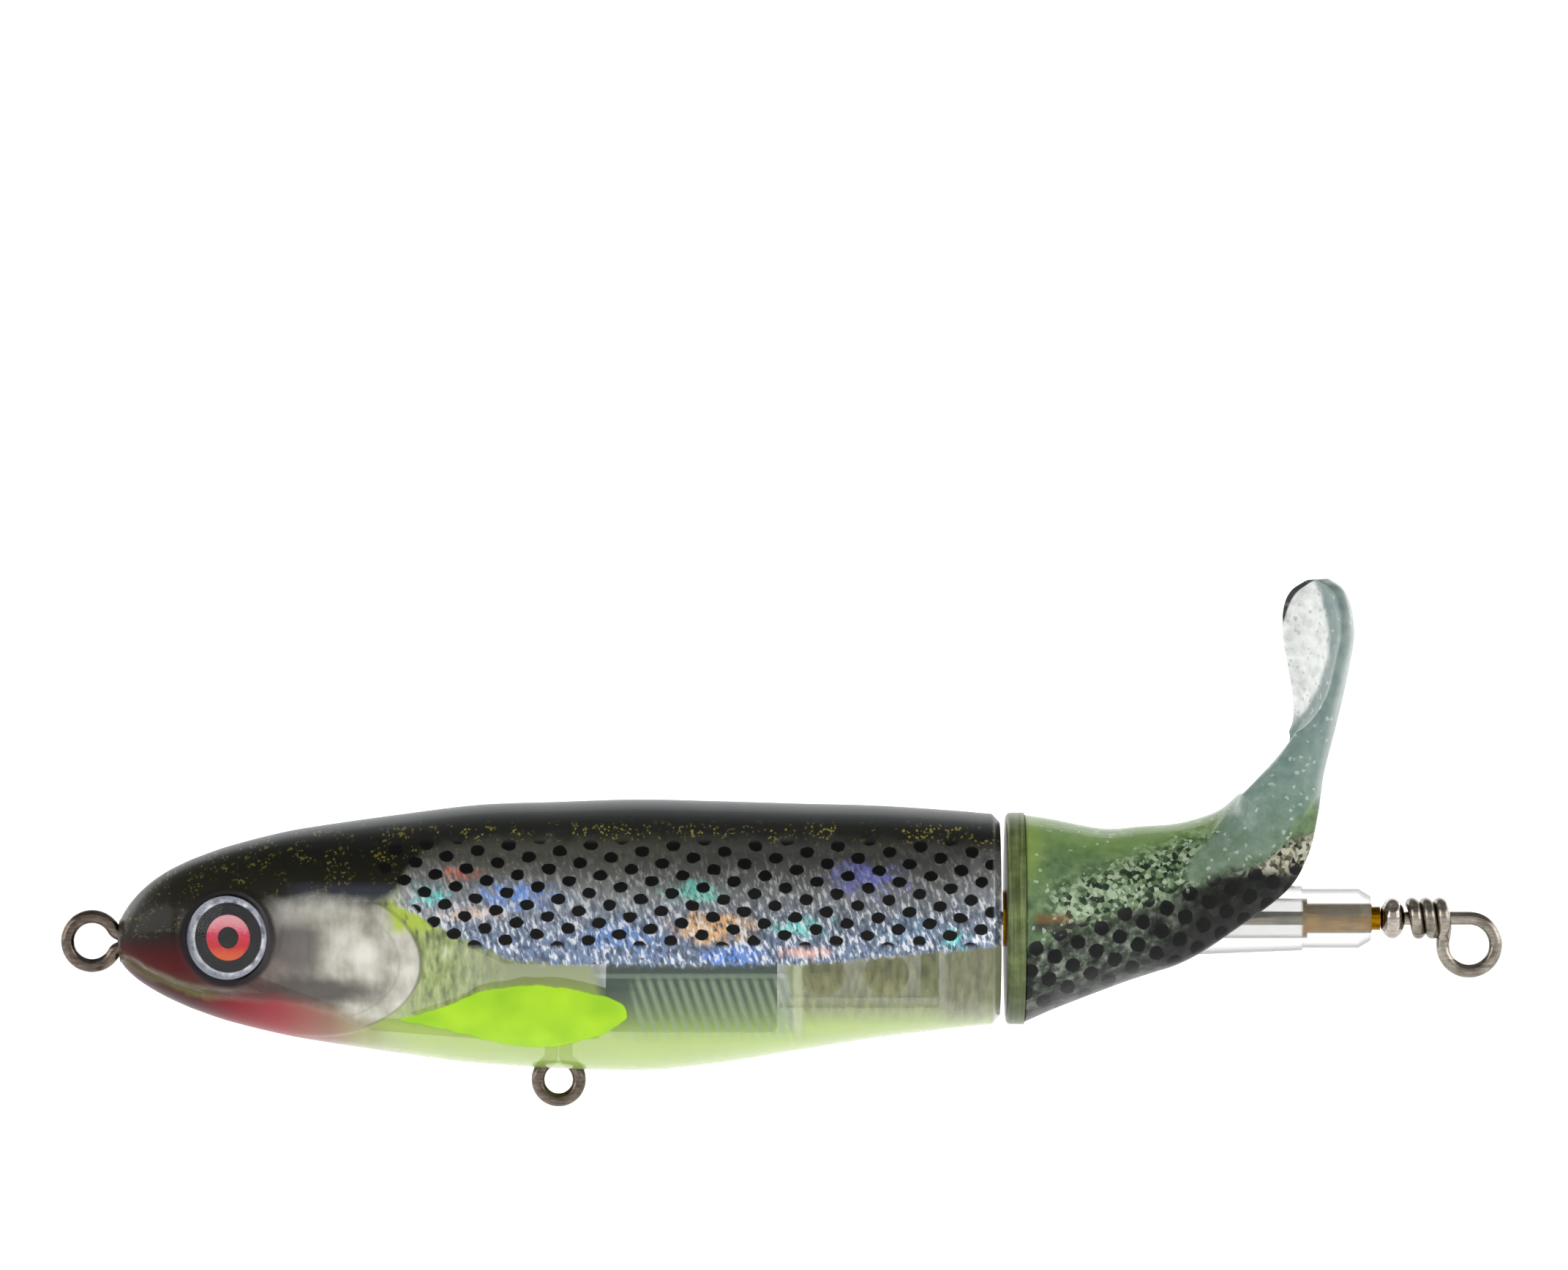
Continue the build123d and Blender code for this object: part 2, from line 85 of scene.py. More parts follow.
# -------- curves and colours
def smooth_curve(points):
    """A function that runs smoothly through (position, value) points, and is level beyond them."""
    xs, ys = zip(*points)
    slopes = []
    for i in range(len(points)):
        a, b = max(i - 1, 0), min(i + 1, len(points) - 1)
        slopes.append((ys[b] - ys[a]) / (xs[b] - xs[a]))

    def value(x):
        if x <= xs[0]:
            return ys[0]
        if x >= xs[-1]:
            return ys[-1]
        i = max(k for k in range(len(xs)) if xs[k] <= x)
        width = xs[i + 1] - xs[i]
        t = (x - xs[i]) / width
        rise = ys[i + 1] - ys[i]
        start, end = slopes[i] * width, slopes[i + 1] * width
        return ys[i] + start * t + (3 * rise - 2 * start - end) * t**2 + (start + end - 2 * rise) * t**3

    return value


def smooth_step(low, high, x):
    """0 below low, 1 above high, and smooth between. With low above high it falls instead."""
    t = min(max((x - low) / (high - low), 0.0), 1.0)
    return t * t * (3 - 2 * t)


def bump(x, centre, width):
    """A smooth hill of height 1."""
    t = (x - centre) / width
    return 2.718 ** (-t * t)


def colour(red, green, blue):
    """A screen colour, 0 to 255, as the linear values that shaders use."""
    channels = [c / 255 for c in (red, green, blue)]
    return tuple(c / 12.92 if c <= 0.04045 else ((c + 0.055) / 1.055) ** 2.4 for c in channels) + (1.0,)


# -------- shaders
class Value:
    """A shader number that adds, multiplies and compares like an ordinary one."""

    def __init__(self, shader, socket):
        self.shader, self.socket = shader, socket

    def math(self, operation, *others):
        """The result of a math node on this number and others."""
        node = self.shader.node("ShaderNodeMath", enumerate((self, *others)), operation=operation)
        return Value(self.shader, node.outputs[0])

    def __add__(self, other):
        return self.math("ADD", other)

    __radd__ = __add__

    def __sub__(self, other):
        return self.math("SUBTRACT", other)

    def __rsub__(self, other):
        return (self * -1) + other

    def __mul__(self, other):
        return self.math("MULTIPLY", other)

    def __truediv__(self, other):
        return self.math("DIVIDE", other)

    def most(self, *others):
        """The highest of several numbers."""
        top = self
        for other in others:
            top = top.math("MAXIMUM", other)
        return top

    def rise(self, low, high):
        """0 below low, 1 above high. With low above high it falls instead."""
        inputs = {"Value": self, "From Min": min(low, high), "From Max": max(low, high)}
        inputs["To Min"], inputs["To Max"] = (0.0, 1.0) if low < high else (1.0, 0.0)
        node = self.shader.node("ShaderNodeMapRange", inputs, interpolation_type="SMOOTHSTEP")
        return Value(self.shader, node.outputs["Result"])

    def between(self, low, high, soft):
        """1 between low and high, with edges as wide as soft."""
        return self.rise(low - soft / 2, low + soft / 2) * self.rise(high + soft / 2, high - soft / 2)


class Shader:
    """A node material being put together, in millimetres of the CAD frame."""

    def __init__(self, name):
        self.material = bpy.data.materials.new(name)
        self.material.use_nodes = True
        self.tree = self.material.node_tree
        self.tree.nodes.clear()
        place = self.node("ShaderNodeTexCoord")
        inputs = {0: place.outputs["Object"], "Scale": 1 / MM}
        self.point = self.node("ShaderNodeVectorMath", inputs, operation="SCALE").outputs[0]
        self.x, self.y, self.z = self.split(self.point)
        self.normal_z = self.split(place.outputs["Normal"])[2]

    def node(self, kind, inputs=(), **settings):
        """Adds a node with its settings, and plugs items into its inputs by name or number."""
        made = self.tree.nodes.new(kind)
        for name, value in settings.items():
            setattr(made, name, value)
        for slot, item in dict(inputs).items():
            self.plug(item, made.inputs[slot])
        return made

    def plug(self, item, slot):
        """Sends a shader number, a node's output or a plain value into an input."""
        if isinstance(item, Value):
            self.tree.links.new(item.socket, slot)
        elif hasattr(item, "is_output"):
            self.tree.links.new(item, slot)
        else:
            slot.default_value = item

    def split(self, vector):
        node = self.node("ShaderNodeSeparateXYZ", {0: vector})
        return tuple(Value(self, out) for out in node.outputs)

    def join(self, x, y, z):
        return self.node("ShaderNodeCombineXYZ", enumerate((x, y, z))).outputs[0]

    def noise(self, size, detail=2.0, place=None, roughness=0.5):
        """Soft noise from 0 to 1, with features size mm across."""
        inputs = {"Vector": place or self.point, "Scale": 1 / size, "Detail": detail, "Roughness": roughness}
        return Value(self, self.node("ShaderNodeTexNoise", inputs).outputs["Fac"])

    def cells(self, size, place=None):
        """A random number for each cell of a mosaic, with cells about size mm across."""
        node = self.node("ShaderNodeTexVoronoi", {"Vector": place or self.point, "Scale": 1 / size})
        return Value(self, self.node("ShaderNodeSeparateColor", {0: node.outputs["Color"]}).outputs[0])

    def curve(self, field, points):
        """A value that runs smoothly through (position, value) points."""
        positions, values = zip(*points)
        first, length = positions[0], positions[-1] - positions[0]
        low, height = min(values), max(values) - min(values)
        node = self.node("ShaderNodeFloatCurve", {"Value": (field - first) / length})
        line = node.mapping.curves[0]
        spots = [((p - first) / length, (v - low) / height) for p, v in points]
        line.points[0].location, line.points[1].location = spots[0], spots[-1]
        for spot in spots[1:-1]:
            line.points.new(*spot)
        node.mapping.update()
        return Value(self, node.outputs[0]) * height + low

    def oval(self, x, z, half_width, half_height):
        """The distance from (x, z) in the side view, counted so that it is 1 on an oval's edge."""
        across, up = (self.x - x) / half_width, (self.z - z) / half_height
        return (across * across + up * up).math("POWER", 0.5)

    def ramp(self, field, *stops):
        """A colour picked by a value from 0 to 1. Each stop is its position and a screen colour."""
        node = self.node("ShaderNodeValToRGB", {0: field})
        elements = node.color_ramp.elements
        while len(elements) < len(stops):
            elements.new(0.5)
        for element, (position, *shade) in zip(elements, stops):
            element.position, element.color = position, colour(*shade)
        return node.outputs[0]

    def mix(self, share, first, second):
        """The first colour, turning into the second as share goes from 0 to 1. Tuples are screen colours."""
        first, second = (colour(*c) if isinstance(c, tuple) else c for c in (first, second))
        return self.node("ShaderNodeMix", {0: share, 6: first, 7: second}, data_type="RGBA").outputs[2]

    def paint(self, base, *layers):
        """Colours laid over one another. Each layer is a share from 0 to 1 and a colour."""
        for share, shade in layers:
            base = self.mix(share, base, shade)
        return base

    def finish(self, bumps, bump_mm, **inputs):
        """Closes the material with one surface shader, and a bump whose height is in millimetres."""
        relief = self.node("ShaderNodeBump", {"Distance": bump_mm * MM, "Height": bumps})
        named = {name.replace("_", " "): item for name, item in inputs.items()}
        surface = self.node("ShaderNodeBsdfPrincipled", {**named, "Normal": relief.outputs[0]})
        self.node("ShaderNodeOutputMaterial", {"Surface": surface.outputs[0]})
        return self.material


def dots(s, start, step_a, step_b, radius_x, radius_z):
    """1 inside oval dots on a slanted lattice: one dot's middle, and the steps to its two neighbours."""
    area = step_a[0] * step_b[1] - step_a[1] * step_b[0]
    dx, dz = s.x - start[0], s.z - start[1]
    u = (dx * step_b[1] - dz * step_b[0]) / area
    v = (dz * step_a[0] - dx * step_a[1]) / area
    u, v = u - u.math("ROUND"), v - v.math("ROUND")
    across = (u * step_a[0] + v * step_b[0]) / radius_x
    up = (u * step_a[1] + v * step_b[1]) / radius_z
    ragged = s.noise(0.7) * 1.1
    return (across * across + up * up + ragged).rise(1.75, 1.35)


# -------- the printed foil
FOIL_GREYS = [(0.0, 70, 70, 60), (0.2, 118, 118, 112), (0.5, 152, 156, 160), (1.0, 118, 138, 172)]
HOLO_PATCHES = [  # middle x, z; half width, half height; colour
    (32.5, 6.2, 2.0, 0.7, (226, 128, 104)), (30.0, 4.3, 1.7, 1.0, (100, 238, 232)),
    (38.0, 4.3, 3.8, 1.3, (112, 168, 255)), (33.5, 2.8, 3.0, 0.6, (250, 216, 190)),
    (53.0, 4.4, 2.8, 1.0, (120, 238, 220)), (54.3, 1.4, 4.4, 1.6, (255, 196, 116)),
    (56.5, -0.8, 3.0, 0.9, (84, 150, 250)), (62.0, 1.5, 2.8, 1.1, (130, 240, 230)),
    (68.0, 5.7, 3.6, 1.4, (126, 128, 214)), (62.6, -0.7, 2.8, 0.6, (250, 186, 172)),
    (47.0, 0.8, 4.6, 1.6, (112, 156, 226)), (75.5, 0.4, 1.3, 1.2, (90, 236, 226)),
    (72.0, 1.2, 3.6, 1.4, (122, 156, 190)),
]


def hologram(s):
    """The foil's colour and how high its flakes stand: silver streaks with soft coloured patches."""
    x, z = s.x, s.z
    slanted = s.join(x + z * 0.25, 0.0, z * 0.45)
    flake = (s.noise(0.34, 2.0, slanted) - 0.5) * 1.3 + s.cells(0.26, slanted) * 0.4 + 0.3
    greys = s.ramp(z.rise(9.2, -1.0), *FOIL_GREYS)
    base = s.mix(x.rise(44.0, 60.0) * z.rise(-2.0, 2.5) * 0.34, greys, (44, 48, 54))
    ragged = (s.noise(0.9, 3.0) - 0.5) * 2.8
    for *place, shade in HOLO_PATCHES:
        inside = (s.oval(*place) + ragged).rise(1.2, 0.2)
        base = s.mix(inside * flake.rise(0.1, 0.5) * 0.85, base, shade)
    sparkle = z.rise(9.0, 0.5)
    base = s.paint(
        base,
        (sparkle * flake.rise(0.52, 0.76) * 0.85, (250, 252, 255)),
        (sparkle * flake.rise(0.46, 0.22) * 0.8, (50, 58, 70)),
    )
    return base, flake


# -------- materials of the painted skin
DOT_START, DOT_STEP_A, DOT_STEP_B = (30.5, 6.1), (1.77, -1.03), (-0.93, -1.53)
DOT_RX, DOT_RZ = 0.62, 0.48
BACK_EDGE = [  # where the dark back ends
    (2.3, 0.9), (5.0, 0.6), (8.0, 1.2), (16.0, 3.6), (21.0, 3.8), (25.0, 3.5), (27.5, 5.6),
    (30.0, 8.2), (34.0, 8.9), (50.0, 9.1), (70.0, 8.8), (80.0, 8.3),
]
FOIL_EDGE = [  # where the printed foil ends
    (26.0, 7.5), (27.0, 3.6), (29.6, 2.2), (32.3, 0.9), (35.5, -0.6), (39.0, -1.5), (45.0, -1.75),
    (62.0, -1.7), (70.0, -1.0), (80.0, -0.1),
]
THROAT_EDGE = [
    (2.3, -1.0), (6.0, -3.0), (10.0, -4.3), (14.0, -4.5), (18.0, -4.9), (22.0, -5.9), (26.0, -7.4),
    (31.0, -9.2),
]
BELLY_SHADES = [(0.0, 122, 132, 78), (0.3, 150, 168, 84), (0.7, 170, 198, 82), (1.0, 172, 200, 90)]
THROAT_SHADES = [
    (0.0, 46, 6, 8), (0.15, 66, 10, 14), (0.3, 118, 26, 36),
    (0.5, 142, 56, 60), (0.72, 136, 96, 80), (1.0, 150, 162, 104),
]
NOSE_SHADES = [(0.0, 20, 14, 10), (0.35, 60, 8, 9), (0.7, 72, 10, 13), (1.0, 70, 40, 34)]
BACK_SHADES = [(0.0, 28, 27, 18), (0.6, 16, 17, 12), (1.0, 30, 32, 28)]
CHEEK_SHADES = [(0.34, 136, 134, 118), (0.5, 178, 176, 162), (0.66, 214, 210, 200)]
STREAK_SHADES = [(0.34, 74, 88, 34), (0.5, 138, 156, 80), (0.62, 172, 184, 120), (0.72, 206, 212, 180)]
FIN_TOP = [(27.2, -6.6), (31.4, -5.3), (35.1, -3.9), (39.3, -3.45), (43.7, -4.1), (46.6, -5.0), (47.2, -6.4)]
FIN_BOTTOM = [(27.2, -6.7), (30.0, -7.3), (34.0, -8.2), (38.8, -9.1), (43.2, -8.5), (46, -7.3), (47.2, -6.5)]
RIB_FROM, RIB_TO, RIB_STEP, RIB_SLANT = 47.6, 63.5, 0.92, 0.32
RIB_TOP, RIB_BOTTOM, RIB_HEIGHT = -2.9, -9.0, 0.3
GILL_X, GILL_Z, GILL_RX, GILL_RZ, GILL_STEP = 19.5, -1.6, 9.9, 6.6, 0.16


def from_eye(s):
    """The distance from the middle of the eye, in the plane of its disc."""
    return s.oval(EYE_X, EYE_Z, cos(EYE_YAW), 1.0)


def fin_patch(s):
    """1 inside the chartreuse fin on each flank."""
    wobble = (s.noise(1.6) - 0.5) * 0.5
    inside_x = s.x.between(FIN_TOP[0][0], FIN_TOP[-1][0], 0.3)
    below = (s.curve(s.x, FIN_TOP) - s.z + wobble).rise(-0.1, 0.15)
    above = (s.z - s.curve(s.x, FIN_BOTTOM) + wobble).rise(-0.1, 0.15)
    return inside_x * below * above


def ribs(s):
    """1 on the moulded ribs inside the belly, 0 between them."""
    phase = (s.x + s.z * RIB_SLANT) * (2 * pi / RIB_STEP)
    zone = s.x.between(RIB_FROM, RIB_TO, 1.0) * s.z.between(RIB_BOTTOM, RIB_TOP, 1.2)
    return (phase.math("SINE") * 0.5 + 0.5) * zone


def dot_print(s):
    """1 inside the black dots, which stop at the gill, the back and the rear edge."""
    zone = s.x.rise(24.4, 25.6) * (s.x + s.z * 0.95 - 31.4).rise(0.0, 0.5) * s.z.between(-0.2, 9.0, 0.6)
    return dots(s, DOT_START, DOT_STEP_A, DOT_STEP_B, DOT_RX, DOT_RZ) * zone * s.x.rise(79.4, 78.9)


def skin_zones(s):
    """Where each part of the print lies, as shares from 0 to 1, and noises to vary it."""
    x, z = s.x, s.z
    wander = (s.noise(1.6, 3.0) - 0.5) * 1.4
    ragged_x, ragged_z = x + wander, z + wander
    gill = s.oval(GILL_X, GILL_Z, GILL_RX, GILL_RZ)
    throat = (z - s.curve(x, THROAT_EDGE) + wander * 0.5).rise(0.9, -0.9) * x.rise(31.0, 21.0)
    foil_line = z - s.curve(x, FOIL_EDGE) + (s.noise(0.6) - 0.5)
    behind_gill = gill.rise(0.985, 1.02) * x.rise(24.0, 27.0)
    return SimpleNamespace(
        wander=wander,
        cloud=s.noise(3.0, 3.0),
        streak=s.noise(0.6, 3.0, s.join(x, 0.0, z * 0.35)),
        gill=gill,
        throat=throat,
        nose=ragged_x.rise(19.5, 12.5) * (1 - throat),
        cheek=gill.rise(1.0, 0.965) * ragged_x.rise(10.0, 13.0),
        # painted shade under the cheek
        painted_shade_under_cheek=(s.oval(18.5, -4.2, 8.5, 1.7) + wander * 0.35).rise(1.25, 0.4),
        behind_gill=behind_gill * ragged_x.rise(38.0, 31.0) * ragged_z.rise(-8.0, -4.0),
        back=(ragged_z - s.curve(x, BACK_EDGE)).rise(-0.9, 0.9),
        foiled=foil_line.rise(-0.25, 0.25) * x.rise(25.6, 28.5),
        spots=dot_print(s),
        fin=fin_patch(s),
        socket=from_eye(s).rise(EYE_R + 0.95, EYE_R + 0.5),
        ballast=(x + z * 0.25).between(43.8, 60.4, 1.0) * (z + wander * 0.4).rise(-9.2, -3.4),
        rattle=x.between(61.5, 78.5, 1.0) * (z + wander * 0.5).rise(-7.8, -4.5),
        stern=x.rise(73.6, 75.6) * (z + wander * 0.5).rise(-8.0, -5.0) * 0.86,
    )


def belly_paint(s, zone):
    """The lime belly with what shows dimly through it, the streaks behind the gill and the milky cheek with
    painted shade towards the eye.
    """
    x, z = s.x, s.z
    ballast, streak = zone.ballast, zone.streak
    ballast_top = ballast * z.between(-2.9, -2.5, 0.2)
    web = x.between(61.6, 62.4, 0.4) * z.rise(-9.0, -7.0)
    lime_fringe = x.between(26.6, 30.4, 1.4) * z.between(1.1, 3.6, 1.2) * streak.rise(0.3, 0.5)
    return s.paint(
        s.ramp(z.rise(-1.5, -10.5), *BELLY_SHADES),
        ((zone.cloud - 0.4) * 0.5, (150, 166, 100)),
        (ballast * 0.9, (60, 80, 82)),
        (ballast_top * 0.7, (140, 164, 150)),
        (ribs(s) * ballast.rise(0.0, 0.3) * 0.75, (136, 164, 124)),
        (zone.rattle * 0.85, s.ramp(streak, (0.35, 70, 72, 48), (0.65, 132, 134, 96))),
        (zone.stern, s.ramp(streak, (0.35, 84, 86, 54), (0.65, 122, 124, 90))),
        (web * 0.6, (196, 204, 160)),
        (zone.behind_gill * 0.9, s.ramp(streak, *STREAK_SHADES)),
        (zone.cheek, s.ramp(zone.cloud * 0.75 + streak * 0.25, *CHEEK_SHADES)),
        # painted shade: the cheek darker towards the eye
        (zone.cheek * x.rise(24.0, 18.0) * 0.35, (84, 78, 74)),
        (lime_fringe, (178, 200, 70)),
    )


def head_paint(s, zone, body):
    """Lays painted shade, a painted glint, gill lines, throat and nose over the colours of the body."""
    x, z = s.x, s.z
    # a painted highlight on the cheek
    painted_glint = s.oval(24.4, -0.8, 1.7, 1.5).rise(1.3, 0.2)
    # painted shade behind the eye
    painted_shade_behind_eye = (s.oval(18.2, -0.4, 3.2, 3.2) + zone.wander * 0.3).rise(1.2, 0.3)
    gill_lines = zone.gill.between(0.975, 1.0, 0.02).most(zone.gill.between(0.79, 0.81, 0.03) * 0.5)
    gill_lines = gill_lines * x.rise(21.0, 23.0) * z.rise(2.4, 0.4)
    return s.paint(
        body,
        # painted shade under the cheek
        (zone.painted_shade_under_cheek * 0.92, (66, 58, 54)),
        (painted_glint * 0.7, (244, 240, 234)),
        (painted_shade_behind_eye * 0.85, (76, 66, 66)),
        (gill_lines * 0.45, (70, 74, 50)),
        (zone.throat, s.ramp(x.rise(2.3, 31.0), *THROAT_SHADES)),
        (zone.nose, s.ramp(z.rise(1.5, -4.5), *NOSE_SHADES)),
    )


def back_paint(s):
    """The near-black back: olive towards the flank, a painted grey sheen along the top and fine gold flecks.
    """
    x, z = s.x, s.z
    gold = s.cells(0.17, s.join(x, 0.0, z)).rise(0.84, 0.89)
    gilt = s.noise(1.8, 2.0).rise(0.42, 0.62) * gold * (x.rise(24.0, 34.0) * 0.6 + 0.4)
    return s.paint(
        s.ramp(z.rise(4.0, 11.0), *BACK_SHADES),
        # painted sheen: grey where the surface faces up
        (s.normal_z.rise(0.8, 0.97) * 0.7, (74, 80, 82)),
        (x.between(18.0, 27.5, 3.0) * z.between(3.2, 5.2, 1.0) * 0.6, (58, 62, 74)),
        (gilt * z.rise(10.9, 9.8) * 0.75, (150, 140, 56)),
    )


def skin_alpha(s, zone):
    """How opaque the skin is: solid where it is painted, and partly clear over the belly."""
    clear = 0.68 - zone.ballast * 0.2 - zone.rattle * 0.04
    return clear.most(
        zone.back, zone.spots, zone.fin, zone.socket, zone.nose, zone.stern,
        zone.foiled * (s.z.rise(7.2, 8.4) * 0.4 + 0.6),
        (zone.throat * 1.3).math("MINIMUM", 1.0) * (s.x.rise(27.0, 18.0) * 0.1 + 0.9),
        zone.cheek * 0.84,
        zone.behind_gill * 0.8,
    )


def skin_material():
    """Clear plastic painted outside: dark back, dots over foil, milky cheek, red throat, lime belly."""
    s = Shader("painted_clear_skin")
    zone = skin_zones(s)
    foil, flake = hologram(s)
    body = head_paint(s, zone, belly_paint(s, zone))
    rear_edge = s.x.rise(78.6, 79.3) * s.z.rise(0.5, -0.8)
    base = s.paint(
        body,
        (zone.foiled, foil),
        (zone.back, back_paint(s)),
        (zone.socket, (26, 23, 25)),
        (zone.spots, (8, 8, 8)),
        (zone.fin, s.ramp(s.noise(5.0), (0.35, 136, 186, 12), (0.65, 164, 208, 24))),
        (rear_edge * 0.7, (110, 114, 80)),
    )
    flaked = zone.foiled * (1 - zone.back) * (1 - zone.spots)
    red = zone.throat * s.x.rise(28.0, 16.0)
    dull = zone.back.most(zone.spots, zone.nose, red, zone.fin * 0.7, zone.painted_shade_under_cheek * zone.cheek * 0.8)
    return s.finish(
        bumps=flake * flaked + s.noise(0.25) * 0.1, bump_mm=0.05,
        Base_Color=base, Alpha=skin_alpha(s, zone), Metallic=flaked * 0.5, Roughness=0.34,
        Specular_IOR_Level=0.2 - dull * 0.1, Coat_Weight=0.9 - dull * 0.8, Coat_Roughness=0.07,
    )


def inner_material():
    """The unpainted inside of the skin: clear, faintly lime, with a painted highlight on the ribs."""
    s = Shader("clear_skin_inside")
    rib = ribs(s)
    haze = s.noise(2.2)
    # painted highlight on the ribs
    base = s.paint(s.ramp(haze, (0.3, 206, 216, 160), (0.7, 226, 232, 196)), (rib, (236, 244, 214)))
    return s.finish(bumps=haze, bump_mm=0.05, Base_Color=base, Alpha=0.1 + rib * 0.3, Roughness=0.12)


# -------- materials of the hardware
PUPIL_R, IRIS_R, SILVER_R, RIM_R = 0.95, 2.0, 3.06, 3.53  # the rings printed on the eye
PRINT_EDGE = 0.04  # half the width of a printed ring's soft edge
IRIS_SHADES = [(0.0, 240, 112, 60), (0.35, 214, 40, 44), (0.7, 226, 62, 92), (1.0, 242, 170, 178)]
SILVER_SHADES = [(0.35, 120, 124, 140), (0.5, 200, 204, 214), (0.62, 246, 246, 250)]
COLLAR_SHADES = [(0.36, 58, 68, 36), (0.5, 84, 96, 54), (0.66, 112, 126, 78)]


def metal_material(name, dark, light, roughness, grain_mm):
    """Bright metal with drawn or turned lines, small stains and uneven polish."""
    s = Shader(name)
    lines = s.noise(grain_mm, 2.0, s.join(s.x * 0.15, s.y, s.z))
    stain = s.noise(grain_mm * 9, 4.0, roughness=0.6)
    base = s.ramp(lines * 0.4 + stain * 0.6, (0.35, *dark), (0.65, *light))
    return s.finish(
        bumps=lines, bump_mm=0.01,
        Base_Color=base, Metallic=1.0, Roughness=roughness + stain * roughness * 0.6,
    )


def clear_material(name, tint, haze, alpha):
    """Clear moulded plastic: faint flow lines, and painted shade at its edges where it is seen along its
    wall.
    """
    s = Shader(name)
    flow = s.noise(1.4, 3.0, s.join(s.x * 0.25, s.y, s.z))
    facing = s.node("ShaderNodeLayerWeight")
    edge = Value(s, facing.outputs["Facing"]).rise(0.3, 0.85)
    # painted shade where the wall is seen side on
    base = s.paint(s.ramp(flow, (0.3, *tint), (0.7, *haze)), (edge, (66, 70, 68)))
    return s.finish(
        bumps=flow, bump_mm=0.04,
        Base_Color=base, Alpha=edge * 0.5 + flow * 0.08 + alpha, Roughness=0.1,
        Specular_IOR_Level=0.3, Coat_Weight=0.5, Coat_Roughness=0.03,
    )


def foil_material():
    """The metallised liner: the same print as shows through the skin, on bright metal."""
    s = Shader("hologram_foil")
    base, flake = hologram(s)
    return s.finish(bumps=flake, bump_mm=0.06, Base_Color=base, Metallic=0.75, Roughness=0.3)


def eye_print_material():
    """A printed fish eye: silver rim, black ring, red iris with rays, and a round black pupil."""
    s = Shader("eye_print")
    out = from_eye(s)
    rays = s.noise(0.35, 2.0, s.join(s.x, 0.0, s.z * 3.0))
    iris = out.rise(IRIS_R + PRINT_EDGE, IRIS_R - PRINT_EDGE)
    silver = out.rise(SILVER_R - PRINT_EDGE, SILVER_R + PRINT_EDGE)
    base = s.paint(
        (16, 15, 20),
        (iris, s.ramp((s.z - EYE_Z + rays * 1.4).rise(-1.8, 2.6), *IRIS_SHADES)),
        (out.rise(PUPIL_R + PRINT_EDGE, PUPIL_R - PRINT_EDGE), (10, 10, 12)),
        (silver, s.ramp(s.noise(0.9, 3.0), *SILVER_SHADES)),
        (out.rise(RIM_R - PRINT_EDGE, RIM_R + PRINT_EDGE), (30, 30, 34)),
    )
    return s.finish(
        bumps=rays * iris, bump_mm=0.03,
        Base_Color=base, Metallic=silver * 0.8, Roughness=0.24,
        Specular_IOR_Level=0.2, Coat_Weight=0.5, Coat_Roughness=0.03,
    )


def dome_material():
    """The clear cast dome over the eye: nearly invisible in the middle, with a painted highlight at its
    edge.
    """
    s = Shader("eye_dome")
    haze = s.noise(0.8)
    edge = from_eye(s).rise(EYE_R - 0.45, EYE_R)
    # painted highlight round the edge
    base = s.paint(s.ramp(haze, (0.3, 10, 10, 14), (0.7, 24, 24, 30)), (edge, (150, 156, 172)))
    return s.finish(
        bumps=haze, bump_mm=0.01,
        Base_Color=base, Alpha=edge * 0.35 + haze * 0.04 + 0.08, Roughness=0.03,
        Coat_Weight=1.0, Coat_Roughness=0.02,
    )


def washer_material():
    """The washer's slippery white plastic: faintly marbled, with small bright specks."""
    s = Shader("washer_plastic")
    marble = s.noise(1.8, 4.0, roughness=0.6)
    grain = s.cells(0.3)
    white = s.ramp(marble, (0.3, 214, 214, 206), (0.7, 238, 238, 232))
    base = s.mix(grain.rise(0.88, 0.92), white, (250, 250, 248))
    return s.finish(
        bumps=marble + grain * 0.2, bump_mm=0.05,
        Base_Color=base, Roughness=0.3 + marble * 0.15, Subsurface_Weight=0.15,
        Subsurface_Radius=(0.001, 0.001, 0.0005), Coat_Weight=0.4, Coat_Roughness=0.15,
    )


def collar_material():
    """The collar's olive plastic, with painted shade underneath and turned lines round it."""
    s = Shader("collar_plastic")
    marble = s.noise(1.8, 4.0, roughness=0.6)
    lines = s.noise(0.22, 1.0, s.join(s.x, s.y * 0.03, s.z * 0.03))
    olive = s.ramp(lines * 0.4 + marble * 0.6, *COLLAR_SHADES)
    # painted shade: darker towards the bottom
    base = s.mix(s.z.rise(1.0, -6.5) * 0.5, olive, (40, 50, 28))
    return s.finish(
        bumps=lines, bump_mm=0.015,
        Base_Color=base, Roughness=0.3 + marble * 0.15,
        Specular_IOR_Level=0.2, Coat_Weight=0.2, Coat_Roughness=0.15,
    )


# -------- material of the soft tail
TAIL_DOT_START, TAIL_DOT_A, TAIL_DOT_B, TAIL_DOT_R = (88.0, -0.6), (1.62, -0.76), (-0.42, -2.0), 0.66
CUP_X = 80.0  # front of the cup
DARK_SLOPE, UNDER_SLOPE = 0.36, 0.43  # how steeply the dark underside's edge and the tail's bottom rise
RIBBON_RISE = 0.4  # how far the blade's root stands out of the flank
RIBBON_BOTTOM = [
    (95.3, 5.2), (98.3, 5.4), (101.0, 5.95), (102.9, 6.8), (104.5, 8.7), (106.0, 10.8), (107.5, 13.0),
]
RIBBON_FRONT = [(5.2, 95.2), (7.3, 96.1), (8.7, 97.5), (11.9, 99.7)]
WEB_EDGE = [
    (18.0, 105.9), (19.4, 106.4), (20.6, 107.2), (23.0, 108.2), (25.7, 108.8), (29.0, 108.5), (32.0, 107.2),
]
